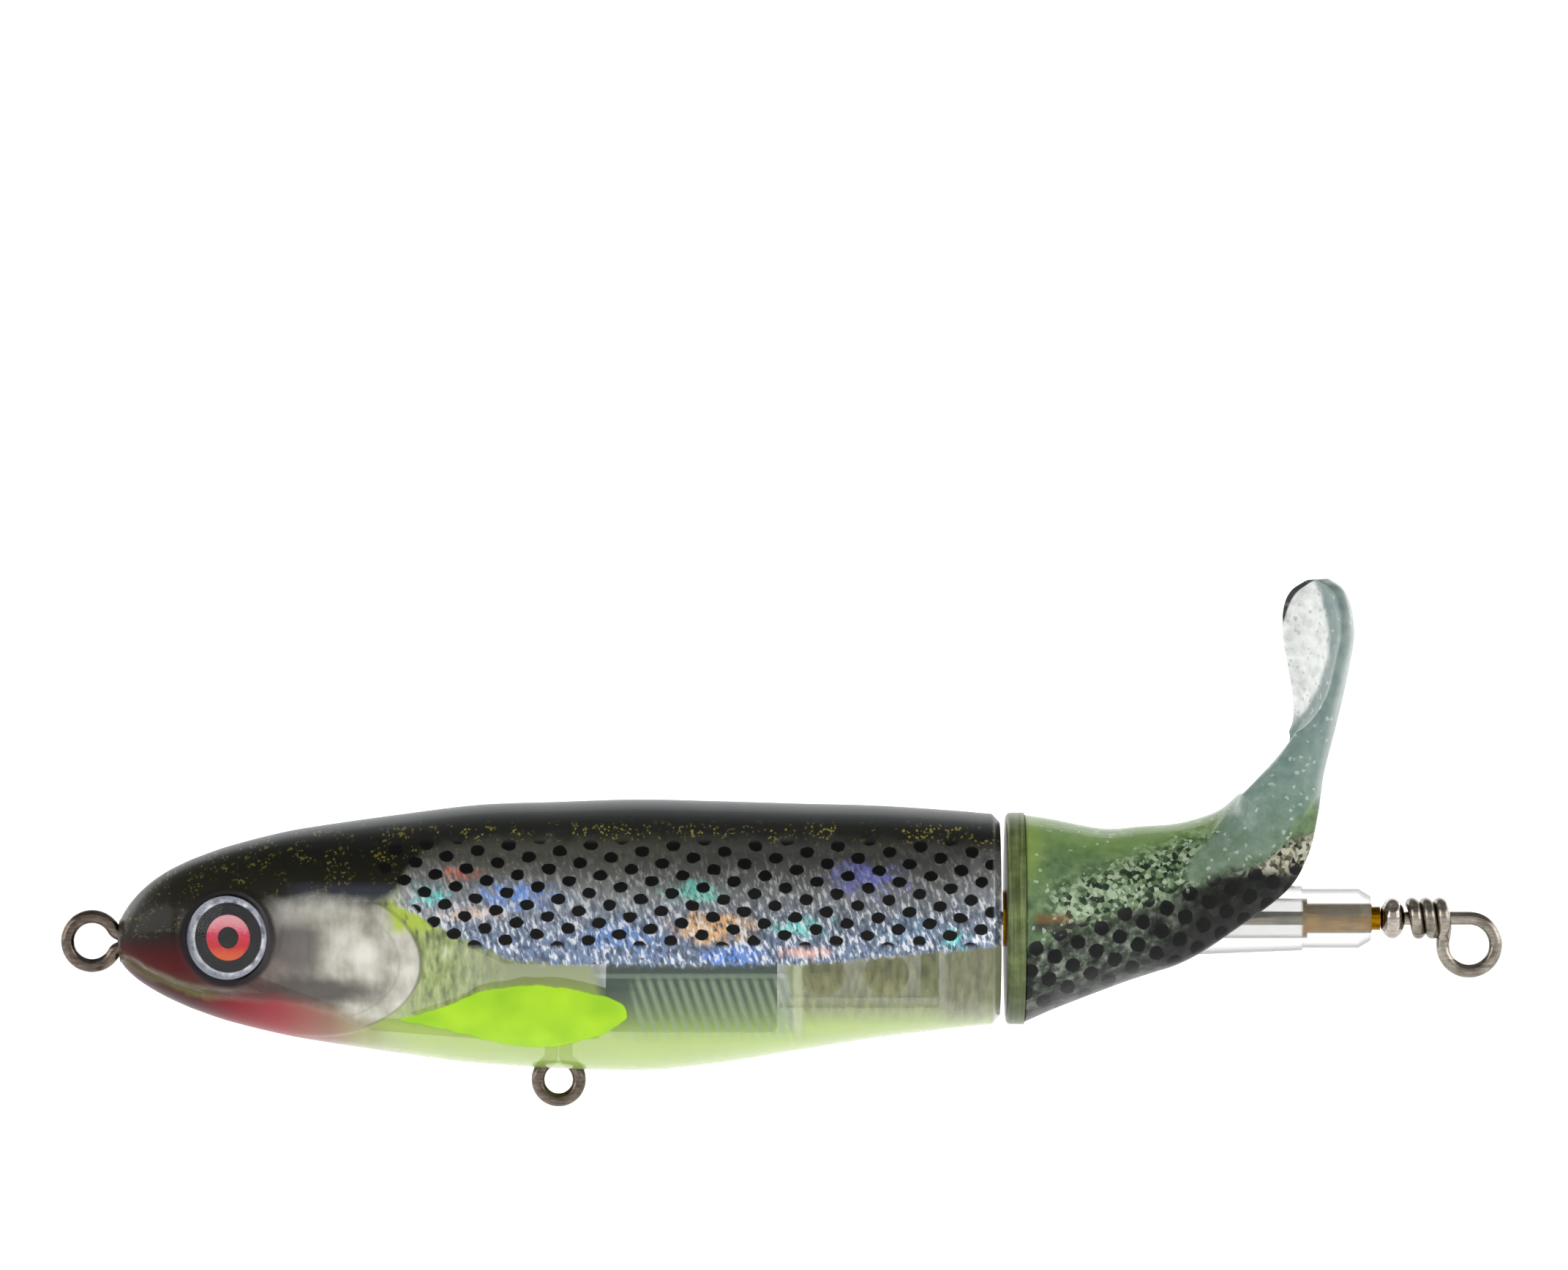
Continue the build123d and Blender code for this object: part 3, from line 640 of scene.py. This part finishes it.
FAR_RIM = [(27.4, 104.9), (29.3, 105.3), (30.5, 105.9), (31.3, 106.8), (32.0, 108.0)]
BLADE_EDGE = [
    (12.0, 107.6), (15.4, 108.3), (19.75, 109.3), (23.8, 110.2), (26.8, 110.75), (28.6, 110.7),
    (32.0, 108.4),
]
CUP_SHADES = [(0.34, 66, 88, 60), (0.5, 94, 120, 80), (0.66, 122, 146, 98)]
FLANK_SHADES = [(0.33, 30, 40, 28), (0.42, 70, 92, 62), (0.53, 110, 134, 98), (0.66, 160, 176, 148)]
UNDER_SHADES = [(0.4, 22, 26, 22), (0.5, 66, 74, 64), (0.62, 134, 142, 130)]
STRIP_SHADES = [(0.36, 26, 28, 20), (0.5, 104, 100, 80), (0.64, 176, 176, 156)]
BLADE_SHADES = [(0.0, 78, 102, 64), (0.3, 82, 112, 92), (0.6, 90, 120, 112), (1.0, 96, 116, 118)]
WEB_SHADES = [(0.32, 150, 158, 156), (0.5, 204, 208, 204), (0.68, 236, 238, 234)]


def tail_zones(s):
    """Where each part of the tail's colour lies, as shares from 0 to 1, and noises to vary it."""
    x, z = s.x, s.z
    cloud = s.noise(2.6, 2.0)
    drift = cloud - 0.5
    ribbon = (z - s.curve(x, RIBBON_BOTTOM) + drift * 2).rise(-0.3, 1.2)
    ribbon = ribbon * (x - s.curve(z, RIBBON_FRONT)).rise(-0.3, 0.9)
    ribbon = ribbon.most(z.rise(11.5, 13.0))
    off_ribbon = 1 - ribbon
    height = z - (x - CUP_X) * DARK_SLOPE
    ragged = height + drift * 1.2 + x.rise(95.0, 101.0) * -1.0
    spots = dots(s, TAIL_DOT_START, TAIL_DOT_A, TAIL_DOT_B, TAIL_DOT_R, TAIL_DOT_R)
    return SimpleNamespace(
        cloud=cloud,
        marble=s.noise(1.1, 4.0, roughness=0.62),
        grain=s.cells(0.3),
        chips=s.cells(0.4),
        ribbon=ribbon,
        flank=height.between(-1.6, 3.4, 2.4) * x.rise(82.6, 85.5) * x.rise(99.5, 96.0) * off_ribbon,
        low=ragged.rise(-0.6, -1.8) * off_ribbon,
        band=ragged.between(-1.9, -0.9, 1.2) * x.rise(85.5, 88.0) * 0.6,
        bottom=(z - (x - CUP_X) * UNDER_SLOPE).rise(-4.6, -7.0),
        # painted shade: near-black towards the rear of the underside, over the hollow
        shade=(x + drift * 8).rise(91.0, 98.0) * 0.9,
        spots=spots * ragged.rise(-0.2, -0.9) * off_ribbon * z.rise(7.4, 6.4),
        web=(s.curve(z, WEB_EDGE) - x).rise(-0.15, 0.35) * z.rise(18.6, 20.4),
        far_rim=(s.curve(z, FAR_RIM) - x).rise(-0.1, 0.12) * z.rise(27.6, 28.6),
        outer_edge=(x - s.curve(z, BLADE_EDGE)).rise(-1.0, -0.2),
    )


def cup_paint(s, zone):
    """The front of the tail: green, with painted light on top; a mottled flank; a dark underside with
    painted shade.
    """
    x, z = s.x, s.z
    marble, cloud, chips, low = zone.marble, zone.cloud, zone.chips, zone.low
    return s.paint(
        s.ramp(marble * 0.6 + cloud * 0.4, *CUP_SHADES),
        # painted light: lime where the surface faces up
        (s.normal_z.rise(0.55, 0.95) * x.rise(101.0, 96.0) * 0.6, (132, 168, 84)),
        (zone.flank, s.ramp(chips * 0.45 + marble * 0.55, *FLANK_SHADES)),
        (low, s.ramp(marble * 0.7 + cloud * 0.3, *UNDER_SHADES)),
        # a dark band along the edge of the dots, and painted shade that turns the underside near-black
        # towards the rear
        (low.most(zone.band) * zone.shade.most(zone.band), (16, 18, 13)),
        (low * z.rise(5.6, 6.8), s.ramp(chips * 0.4 + marble * 0.6, *STRIP_SHADES)),
        (zone.bottom * 0.7, (42, 42, 42)),
        (x.rise(84.2, 82.2) * z.rise(4.0, 8.0) * 0.6, (142, 168, 74)),
        # the brass bushing inside, painted as it shows through the tail: a dark brown line under an amber
        # glint
        (x.between(82.6, 86.8, 1.2) * z.between(1.1, 2.0, 0.7) * 0.8, (40, 34, 18)),
        (x.between(82.6, 85.6, 1.2) * z.between(1.9, 2.6, 0.6) * 0.75, (116, 76, 40)),
    )


def blade_paint(s, zone, cup):
    """Lays the teal blade with its pale web and dark far rim over the colours of the cup."""
    root = s.ramp(s.z.rise(4.5, 22.0), *BLADE_SHADES)
    blade = s.mix((zone.marble - 0.5) * 1.1 + 0.3, root, (152, 170, 158))
    return s.paint(
        cup,
        (zone.ribbon, blade),
        (zone.ribbon * zone.outer_edge * s.z.rise(10.0, 14.0) * 0.5, (196, 200, 196)),
        (zone.web, s.ramp(zone.marble, *WEB_SHADES)),
        (zone.far_rim, (40, 40, 38)),
    )


def tail_material():
    """Soft plastic: green top, mottled flank, dotted dark underside and a teal blade with a pale web."""
    s = Shader("soft_tail_plastic")
    zone = tail_zones(s)
    ribbon, low, web, marble = zone.ribbon, zone.low, zone.web, zone.marble
    base = s.paint(
        blade_paint(s, zone, cup_paint(s, zone)),
        (zone.spots, (7, 8, 8)),
        (zone.grain.rise(0.965, 0.98) * (1 - low) * 0.5, (190, 206, 190)),
        (zone.grain.rise(0.06, 0.04) * web * 0.7, (40, 44, 44)),
    )
    return s.finish(
        bumps=marble * 0.6 + zone.chips * 0.4 * (1 - ribbon), bump_mm=0.12,
        Base_Color=base, Alpha=0.98 - web * (1 - zone.far_rim) * 0.4 - ribbon * 0.08,
        Roughness=0.26 + marble * 0.16, Subsurface_Weight=0.05, Subsurface_Radius=(0.001, 0.0016, 0.0008),
        Specular_IOR_Level=0.12, Coat_Weight=0.4 - low * 0.34, Coat_Roughness=0.08,
    )


# -------- the body's outline, read off the CAD shell
BEHIND_NOSE = (0.02, 0.06, 0.14, 0.3, 0.6, 1.1, 1.8, 2.8, 4.0, 5.2)  # distances from the nose's tip
HEAD_STATIONS = (9.0, 12.0, 16.7, 20.0)
BACK_FROM, BACK_STEP, BACK_COUNT = 27.0, 7.0, 8
BEFORE_REAR = (1.6, 0.9, 0.7, 0.35, 0.02)  # distances from the rear edge
SCALLOP_X, SCALLOP_HALF = 41.0, 3.5  # the hollow round the belly hanger


def measure_body():
    """Smooth functions of x that give the body's top, bottom and half width."""
    shell = NODES["right_shell"].data
    tree = BVHTree.FromPolygons([v.co / MM for v in shell.vertices], [p.vertices for p in shell.polygons])
    near_middle, far = 0.08, 40.0
    stations = [NOSE_X + d for d in BEHIND_NOSE]
    stations += HEAD_STATIONS
    stations += [BACK_FROM + BACK_STEP * i for i in range(BACK_COUNT)]
    stations += [REAR_X - d for d in BEFORE_REAR]
    tops, bottoms, widths = [], [], []
    for x in stations:
        top = tree.ray_cast(Vector((x, near_middle, far)), Vector((0, 0, -1)))[0].z
        bottom = tree.ray_cast(Vector((x, near_middle, -far)), Vector((0, 0, 1)))[0].z
        tops.append((x, top))
        if abs(x - SCALLOP_X) > SCALLOP_HALF:
            bottoms.append((x, bottom))
        if abs(x - EYE_X) > EYE_R + 0.8:  # not in the eye socket
            side = tree.ray_cast(Vector((x, far, (top + bottom) / 2)), Vector((0, -1, 0)))[0].y
            widths.append((x, side))
    return smooth_curve(tops), smooth_curve(bottoms), smooth_curve(widths)


# -------- adding to the scene
def add_object(name, data):
    """A new object in the scene."""
    made = bpy.data.objects.new(name, data)
    bpy.context.scene.collection.objects.link(made)
    return made


def new_piece(name, mesh):
    """Turns a finished bmesh into a piece in the scene."""
    bmesh.ops.recalc_face_normals(mesh, faces=mesh.faces)
    data = bpy.data.meshes.new(name)
    mesh.to_mesh(data)
    mesh.free()
    return add_object(name, data)


# -------- painted skins
MOUTH = [Vector(p) for p in ((3.5, -1.5), (5.2, -2.75), (7.4, -3.8), (9.8, -4.5))]
MOUTH_DEPTH, MOUTH_WIDTH = 0.2, 0.24
NOSE_SHARES, REAR_SHARES = (0.0, 0.5), (0.3, 0.65, 1.0)  # where the rows of the two end faces lie


def skin_stations():
    """Positions along the body: closest at the nose, the eye, the gill, the ribs and the rear edge."""
    xs, x = [], NOSE_X + 0.02
    while x < REAR_X - 0.02:
        xs.append(x)
        if x < NOSE_X + 1.0:
            x += 0.08
        elif abs(x - EYE_X) < 5.2:
            x += 0.13
        elif x < 32 or RIB_FROM < x < RIB_TO or x > REAR_X - 1.2:
            x += 0.18
        else:
            x += 0.5
    return xs + [REAR_X - 0.02]


def skin_angles():
    """Angles round each half section from the top, in radians: closest at the seam and beside the eye."""
    angles, angle = [0.0, 0.35, 0.9], 1.8
    while angle < 178.0:
        angles.append(angle)
        angle += 1.15 if 58 < angle < 122 else 2.2
    return [radians(a) for a in angles + [178.2, 179.1, 179.65, 180.0]]


def on_section(x, angle, inset=0.0):
    """A point on the body's oval section."""
    top, bottom, width = (curve(x) for curve in BODY_OUTLINE)
    half_height = (top - bottom) / 2
    across = -(width - inset) * sin(angle) - SEAM_GAP
    return Vector((x, across, (top + bottom) / 2 + (half_height - inset) * cos(angle)))


def distance_to_line(point, line):
    """The distance from a point to a bent line, both in the side view."""
    best = 1e9
    for a, b in zip(line, line[1:]):
        along = b - a
        share = min(max((point - a).dot(along) / along.length_squared, 0.0), 1.0)
        best = min(best, (point - a - along * share).length)
    return best


def moulded_height(x, z):
    """How far the face detail stands out of the smooth body: the mouth and the edge of the gill cover."""
    mouth = bump(distance_to_line(Vector((x, z)), MOUTH), 0.0, MOUTH_WIDTH)
    out = hypot((x - GILL_X) / GILL_RX, (z - GILL_Z) / GILL_RZ)
    cover = smooth_step(1.015, 0.985, out) * smooth_step(17.0, 23.0, x) * smooth_step(4.0, 1.0, z)
    return GILL_STEP * cover - MOUTH_DEPTH * mouth


def in_socket(point):
    """Moves a point of the skin into the eye socket, or out onto the socket's raised rim."""
    facing = Vector((-sin(EYE_YAW), -cos(EYE_YAW), 0))
    centre = Vector((EYE_X, EYE_Y, EYE_Z)) - facing * SOCKET_FLOOR
    height = (point - centre).dot(facing)
    flat = point - centre - facing * height
    out = flat.length
    if out > SOCKET_RIM_R + 1.0 or height < -1.5:
        return point
    if out < SOCKET_R:
        reach = SOCKET_R - 0.02 if out > SOCKET_R - 0.12 else out
        return centre + flat * (reach / max(out, 1e-6))
    if out < SOCKET_R + 0.12:
        flat = flat * ((SOCKET_R + 0.03) / out)
    return centre + flat + facing * (height + SOCKET_RIM * bump(out, SOCKET_RIM_R, 0.3))


def on_hole(x, z, radius, angle):
    """A point on the edge of a round hole in an end face."""
    return Vector((x, -radius * sin(angle) - SEAM_GAP, z + radius * cos(angle)))


def nose_rows():
    """Rows over the nose's small front face, from the wire's hole out to the body."""
    rows = []
    first = skin_stations()[0]
    for share in NOSE_SHARES:
        row = []
        for angle in skin_angles():
            hole = on_hole(NOSE_X + 0.01, 0.0, WIRE_HOLE_R, angle)
            row.append(hole.lerp(on_section(first, angle), share))
        rows.append(row)
    return rows


def flank_rows():
    """Rows along the body, with the seam's groove, the mouth, the gill cover and the eye socket."""
    rows = []
    for x in skin_stations():
        row = []
        for angle in skin_angles():
            point = on_section(x, angle)
            groove = SEAM_GROOVE * (bump(angle, 0.0, SEAM_SPREAD) + bump(angle, pi, SEAM_SPREAD))
            out = Vector((0, point.y * 1.2, point.z - SPIN_Z)).normalized()
            point += out * (moulded_height(point.x, point.z) - groove)
            point.y = min(point.y, -SEAM_GAP)
            row.append(in_socket(point))
        rows.append(row)
    return rows


def rear_rows(last):
    """Rows over the rear face, from the last row of the flank in to the washer's hole."""
    rows = []
    for share in REAR_SHARES:
        row = []
        for angle, edge in zip(skin_angles(), last):
            x = min(REAR_X + REAR_BOSS, edge.x + share * 2)
            row.append(edge.lerp(on_hole(x, SPIN_Z, WASHER_R + WASHER_CLEARANCE, angle), share))
        rows.append(row)
    return rows


def outer_rows():
    """Rows of points over the outside of the left half, from the nose's face to the rear face."""
    flank = flank_rows()
    return nose_rows() + flank + rear_rows(flank[-1])


def wall_thickening(wall):
    """How much thicker the skin is inside: at a slanted moulded rib, and behind the eye."""
    phase = (wall.x + wall.z * RIB_SLANT) * 2 * pi / RIB_STEP
    zone = smooth_step(RIB_FROM, RIB_FROM + 1, wall.x) * smooth_step(RIB_TO, RIB_TO - 1, wall.x)
    zone *= smooth_step(RIB_TOP, RIB_TOP - 0.8, wall.z)
    zone *= smooth_step(RIB_BOTTOM, RIB_BOTTOM + 1.5, wall.z)
    rib = RIB_HEIGHT * zone * (0.5 + 0.5 * sin(phase))
    return rib + EYE_WALL * smooth_step(EYE_R + 2.4, EYE_R + 0.6, hypot(wall.x - EYE_X, wall.z - EYE_Z))


def inner_rows(outer):
    """The inside of the skin, row for row with the outside."""
    rows = []
    cavity_from, cavity_to = NOSE_X + NOSE_WALL, REAR_X - REAR_WALL
    for index, row in enumerate(outer):
        x = cavity_from + (row[0].x - NOSE_X) / (REAR_X - NOSE_X) * (cavity_to - cavity_from)
        on_end_face = index < len(NOSE_SHARES) or index >= len(outer) - len(REAR_SHARES)
        inner = []
        for angle, outside in zip(skin_angles(), row):
            wall = on_section(x, angle, SKIN)
            wall.y += min(wall_thickening(wall), max(-wall.y - 0.3, 0.0))
            if on_end_face:
                wall = Vector((x, outside.y, outside.z))
            inner.append(wall)
        rows.append(inner)
    return rows


def skin_mesh(name, side):
    """One half of the painted skin as a closed mesh. Side is 1 for the left half and -1 for the right."""
    outer = outer_rows()
    inner = inner_rows(outer)
    mesh = bmesh.new()
    grids = []
    for rows in (outer, inner):
        grids.append([[mesh.verts.new((p.x * MM, p.y * side * MM, p.z * MM)) for p in row] for row in rows])
    outside, inside = grids
    columns = len(outside[0])

    def face(corners, slot):
        made = mesh.faces.new(corners if side == 1 else corners[::-1])
        made.smooth = True
        made.material_index = slot

    for i in range(len(outside) - 1):
        for j in range(columns - 1):
            a, b, c, d = outside[i][j], outside[i + 1][j], outside[i + 1][j + 1], outside[i][j + 1]
            face((a, d, c, b), 0)
            a, b, c, d = inside[i][j], inside[i + 1][j], inside[i + 1][j + 1], inside[i][j + 1]
            face((a, b, c, d), 1)
        for j, turn in ((0, 1), (columns - 1, -1)):
            corners = (outside[i][j], outside[i + 1][j], inside[i + 1][j], inside[i][j])
            face(corners[::turn], 1)
    for i, turn in ((0, 1), (len(outside) - 1, -1)):
        for j in range(columns - 1):
            corners = (outside[i][j], inside[i][j], inside[i][j + 1], outside[i][j + 1])
            face(corners[::turn], 1)
    return new_piece(name, mesh)


def build_skins():
    """Both painted skins, each in place of its CAD shell."""
    outside, inside = skin_material(), inner_material()
    for name, shell, side in (("left_skin", "left_shell", 1), ("right_skin", "right_shell", -1)):
        skin = skin_mesh(name, side)
        skin.data.materials.append(outside)
        skin.data.materials.append(inside)
        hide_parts(shell)
        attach(skin, "body")


# -------- soft tail
TAIL_SECTIONS = [
    # front or upper edge x, z; rear or lower edge x, z; half width; thickness share; hollow underneath; cup
    (81.9, 11.1, 81.9, -7.1, 9.1, 1.0, 0.0, 0.0),
    (84.5, 10.7, 84.9, -5.8, 8.5, 1.0, 0.0, 0.0),
    (88.8, 9.9, 90.0, -3.85, 7.8, 1.0, 0.0, 0.0),
    (92.2, 10.1, 95.8, -1.7, 7.1, 1.0, 0.25, 0.0),
    (95.6, 10.4, 100.6, 1.4, 6.5, 1.0, 0.55, 0.0),
    (98.8, 11.4, 104.8, 4.6, 6.1, 0.95, 0.75, 0.1),
    (100.6, 12.8, 106.6, 7.6, 5.8, 0.75, 0.65, 0.3),
    (102.4, 14.6, 107.5, 11.2, 5.5, 0.55, 0.35, 0.6),
    (104.2, 16.6, 108.0, 14.6, 5.3, 0.42, 0.15, 0.8),
    (105.7, 19.0, 109.0, 18.5, 5.1, 0.36, 0.0, 0.9),
    (105.75, 21.6, 109.75, 21.6, 5.1, 0.3, 0.0, 1.2),
    (105.3, 24.4, 110.35, 24.4, 5.1, 0.25, 0.0, 1.5),
    (104.85, 26.9, 110.75, 26.9, 4.9, 0.22, 0.0, 1.5),
    (104.9, 29.3, 110.5, 29.4, 4.1, 0.23, 0.0, 1.2),
    (105.5, 30.8, 109.8, 31.0, 3.0, 0.27, 0.0, 0.7),
    (106.8, 31.75, 108.6, 31.85, 1.2, 0.4, 0.0, 0.2),
]
TAIL_STEPS, TAIL_ROUND = 260, 160
TWIST_Z = (16.0, 23.0)  # heights between which the blade turns towards the viewer


def twisted_outline(section, half_depth):
    """One section's outline as (across, depth) pairs, before it is fitted between its two edges."""
    width, share, hollow, cup = section[4:]
    flat = smooth_step(0.95, 0.3, share)
    twist = smooth_step(*TWIST_Z, section[3]) * asin(min(half_depth * (1 - 1.3 * share) / width, 0.9))
    outline = []
    for j in range(TAIL_ROUND):
        angle = 2 * pi * j / TAIL_ROUND
        across, up = cos(angle), sin(angle)
        lift = (abs(up) ** (1 - 0.45 * flat)) * (1 if up > 0 else -1)
        near_rim = smooth_step(-0.35, -0.8, across)
        far_rim = smooth_step(0.75, 1.0, across)
        rims = 1 + flat * (0.95 * near_rim + 0.35 * far_rim - 0.5)
        depth = lift * half_depth * share * rims
        if up < 0:
            depth *= 1 - hollow * max(1 - (across / 0.75) ** 2, 0.0) ** 1.5
        depth -= cup * (1 - across**2)
        side = width * across * cos(twist) - depth * sin(twist)
        outline.append((side, width * across * sin(twist) + depth * cos(twist)))
    return outline


def tail_ring(section):
    """The points round one section, fitted so that the side view runs exactly from edge to edge."""
    front_x, front_z, rear_x, rear_z = section[:4]
    middle = Vector(((front_x + rear_x) / 2, 0, (front_z + rear_z) / 2))
    depth_axis = Vector((front_x - rear_x, 0, front_z - rear_z))
    half_depth = depth_axis.length / 2
    depth_axis.normalize()
    outline = twisted_outline(section, half_depth)
    low, high = min(depth for _, depth in outline), max(depth for _, depth in outline)
    scale = 2 * half_depth / (high - low)
    ring = []
    for side, depth in outline:
        ring.append(middle + depth_axis * ((depth - low) * scale - half_depth) + Vector((0, side, 0)))
    return ring


ribbon_bottom, ribbon_front = smooth_curve(RIBBON_BOTTOM), smooth_curve(RIBBON_FRONT)


def ribbon_share(point):
    """1 where the blade's root overlaps the flank as a raised ribbon, 0 in front of it and below it."""
    above = smooth_step(-0.1, 0.15, point.z - ribbon_bottom(point.x))
    behind = smooth_step(-0.1, 0.15, point.x - ribbon_front(point.z))
    return above * behind * smooth_step(110.0, 106.0, point.x) * smooth_step(17.0, 12.0, point.z)


def tail_sections():
    """The tail's sections, closely spaced and smooth from one to the next."""
    columns = []
    for column in range(len(TAIL_SECTIONS[0])):
        columns.append(smooth_curve([(i, row[column]) for i, row in enumerate(TAIL_SECTIONS)]))
    last = len(TAIL_SECTIONS) - 1
    return [[curve(last * i / TAIL_STEPS) for curve in columns] for i in range(TAIL_STEPS + 1)]


def tail_mesh():
    """The soft tail's closed mesh: a cup that runs up into a thin, twisted, rimmed blade."""
    mesh = bmesh.new()
    rings = []
    for section in tail_sections():
        points = tail_ring(section)
        for p in points:
            p.y += RIBBON_RISE * ribbon_share(p) * min(max(p.y / 2, -1), 1)
        rings.append([mesh.verts.new(p * MM) for p in points])
    for near, far in zip(rings, rings[1:]):
        for j in range(TAIL_ROUND):
            k = (j + 1) % TAIL_ROUND
            mesh.faces.new((near[j], near[k], far[k], far[j])).smooth = True
    for ring in (rings[0], rings[-1]):
        centre = sum((v.co for v in ring), Vector()) / len(ring)
        middle = mesh.verts.new(centre)
        for j in range(TAIL_ROUND):
            mesh.faces.new((ring[j], ring[(j + 1) % TAIL_ROUND], middle)).smooth = True
    return mesh


def build_tail():
    """The soft paddle tail, in place of its CAD solid."""
    tail = new_piece("soft_paddle_tail", tail_mesh())
    tail.data.materials.append(tail_material())
    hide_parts("soft_tail")
    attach(tail, "tail")


# -------- CAD parts that stay
METALS = [  # material; darker and lighter tone; roughness; grain size; nodes
    ("gunmetal_wire", (86, 80, 72), (168, 160, 148), 0.18, 0.25, ("shaft_wire",)),
    ("dark_wire", (58, 50, 44), (126, 114, 104), 0.18, 0.25, ("through_wire",)),
    ("bright_bead", (120, 112, 106), (190, 180, 172), 0.08, 0.2, ("thrust_bead",)),
    ("brass", (86, 56, 2), (172, 122, 10), 0.07, 0.2, ("front_bushing", "rear_bushing")),
    ("rattle_ball", (186, 160, 92), (238, 226, 176), 0.12, 0.3, ("front_rattle_ball", "rear_rattle_ball")),
    ("belly_weight", (48, 60, 66), (92, 108, 112), 0.35, 0.4, ("belly_ballast",)),
    ("head_weight", (176, 174, 164), (226, 224, 214), 0.4, 0.5, ("head_ballast",)),
]
CLEARS = [  # material; two tones; opacity; nodes
    ("clear_sleeve", (132, 134, 126), (182, 184, 174), 0.13, ("tail_core",)),
    ("clear_capsule", (190, 196, 170), (226, 230, 208), 0.05, ("rattle_capsule", "capsule_plug")),
]


def give(material, *names):
    """Puts a material on CAD nodes."""
    for name in names:
        slots = NODES[name].material_slots
        if not slots:
            NODES[name].data.materials.append(material)
        for slot in slots:
            slot.material = material


def dress_hardware():
    """Materials for the wires, bushings, weights, rattle, collar, washer, eyes and liner."""
    for *finish, nodes in METALS:
        give(metal_material(*finish), *nodes)
    for *finish, nodes in CLEARS:
        give(clear_material(*finish), *nodes)
    give(collar_material(), "tail_collar")
    give(washer_material(), "thrust_washer")
    give(foil_material(), "left_foil", "right_foil")
    give(eye_print_material(), "left_eye_disc", "right_eye_disc")
    give(dome_material(), "left_eye_dome", "right_eye_dome")


# -------- stage, lights and camera
VIEW_WIDTH, VIEW_X, VIEW_Z = 137.8, 60.8, 26.9
LENS, SENSOR = 200, 36
AIM = Vector((VIEW_X, 0, 5))  # where the lights point
FLOOR_Z = -34.0  # clear of the blade when the tail turns over
FLOOR_R, COVE_R, WALL_TOP = 1300.0, 350.0, 1200.0
COVE_STEPS, FLOOR_STEPS = 12, 96
GLOW_FRONT, GLOW_REAR = 0.08, 0.58  # the paper's own light in front of the lure and behind it
SURROUND = 0.28  # light from all round
LIGHTS = [  # name; place; width; height; watts
    ("top_strip", (60, 360, 330), 620, 120, 0.3),
    ("side_left", (-1000, -520, 420), 900, 700, 4.6),
    ("side_right", (1120, -520, 420), 900, 700, 3.8),
    ("rear_left", (-900, 700, 420), 700, 500, 2.0),
    ("rear_right", (1000, 700, 420), 700, 500, 2.0),
]


def paper_material():
    """Pale paper with a fine grain that glows with its own light, brighter behind the lure than in front of
    it.
    """
    s = Shader("pale_paper")
    grain = s.noise(1.2, 3.0)
    # the paper's own glow, stronger behind the lure
    glow = s.y.rise(-900.0, 100.0) * (GLOW_REAR - GLOW_FRONT) + GLOW_FRONT
    return s.finish(
        bumps=grain, bump_mm=0.02,
        Base_Color=s.ramp(grain, (0.3, 238.6, 238.6, 238.6), (0.7, 243.4, 243.4, 243.4)),
        Roughness=0.85, Emission_Color=(1, 1, 1, 1), Emission_Strength=glow,
    )


def build_stage():
    """A wide pale floor that curves up all round."""
    profile = [(0.0, FLOOR_Z), (FLOOR_R, FLOOR_Z)]
    for step in range(1, COVE_STEPS + 1):
        turn = radians(90 * step / COVE_STEPS)
        profile.append((FLOOR_R + COVE_R * sin(turn), FLOOR_Z + COVE_R * (1 - cos(turn))))
    profile.append((FLOOR_R + COVE_R, WALL_TOP))
    mesh = bmesh.new()
    points = [mesh.verts.new(((VIEW_X + r) * MM, 0, z * MM)) for r, z in profile]
    edges = [mesh.edges.new(pair) for pair in zip(points, points[1:])]
    bmesh.ops.spin(
        mesh, geom=points + edges, cent=(VIEW_X * MM, 0, 0), axis=(0, 0, 1),
        angle=2 * pi, steps=FLOOR_STEPS, use_merge=True,
    )
    bmesh.ops.remove_doubles(mesh, verts=mesh.verts, dist=0.1 * MM)
    for face in mesh.faces:
        face.smooth = True
    stage = new_piece("pale_backdrop", mesh)
    stage.data.materials.append(paper_material())


def add_light(name, place, width, height, watts):
    """A soft rectangular light aimed at the middle of the lure."""
    light = bpy.data.lights.new(name, "AREA")
    light.shape = "RECTANGLE"
    light.size, light.size_y, light.energy = width * MM, height * MM, watts
    lamp = add_object(name, light)
    lamp.visible_camera = False
    lamp.location = Vector(place) * MM
    aim = AIM * MM - lamp.location
    lamp.rotation_euler = aim.to_track_quat("-Z", "Y").to_euler()


def build_lights():
    """A dim surround, a strip above and behind, and a soft box at each corner, out of view."""
    world = bpy.data.worlds.new("studio")
    world.use_nodes = True
    background = world.node_tree.nodes["Background"]
    background.inputs[0].default_value = (1.0, 1.0, 1.0, 1.0)
    background.inputs[1].default_value = SURROUND
    bpy.context.scene.world = world
    for light in LIGHTS:
        add_light(*light)


def build_camera():
    """The product view: square on to the left side, from far enough away to look almost flat."""
    data = bpy.data.cameras.new("product_view")
    data.lens, data.sensor_width, data.sensor_fit = LENS, SENSOR, "HORIZONTAL"
    data.clip_end = 20.0
    camera = add_object("product_view", data)
    distance = VIEW_WIDTH / SENSOR * LENS
    camera.location = Vector((VIEW_X, -distance, VIEW_Z)) * MM
    camera.rotation_euler = (radians(90), 0, 0)
    bpy.context.scene.camera = camera


BODY_OUTLINE = measure_body()
build_skins()
build_tail()
dress_hardware()
build_stage()
build_lights()
build_camera()
bpy.context.scene.view_settings.view_transform = "Standard"
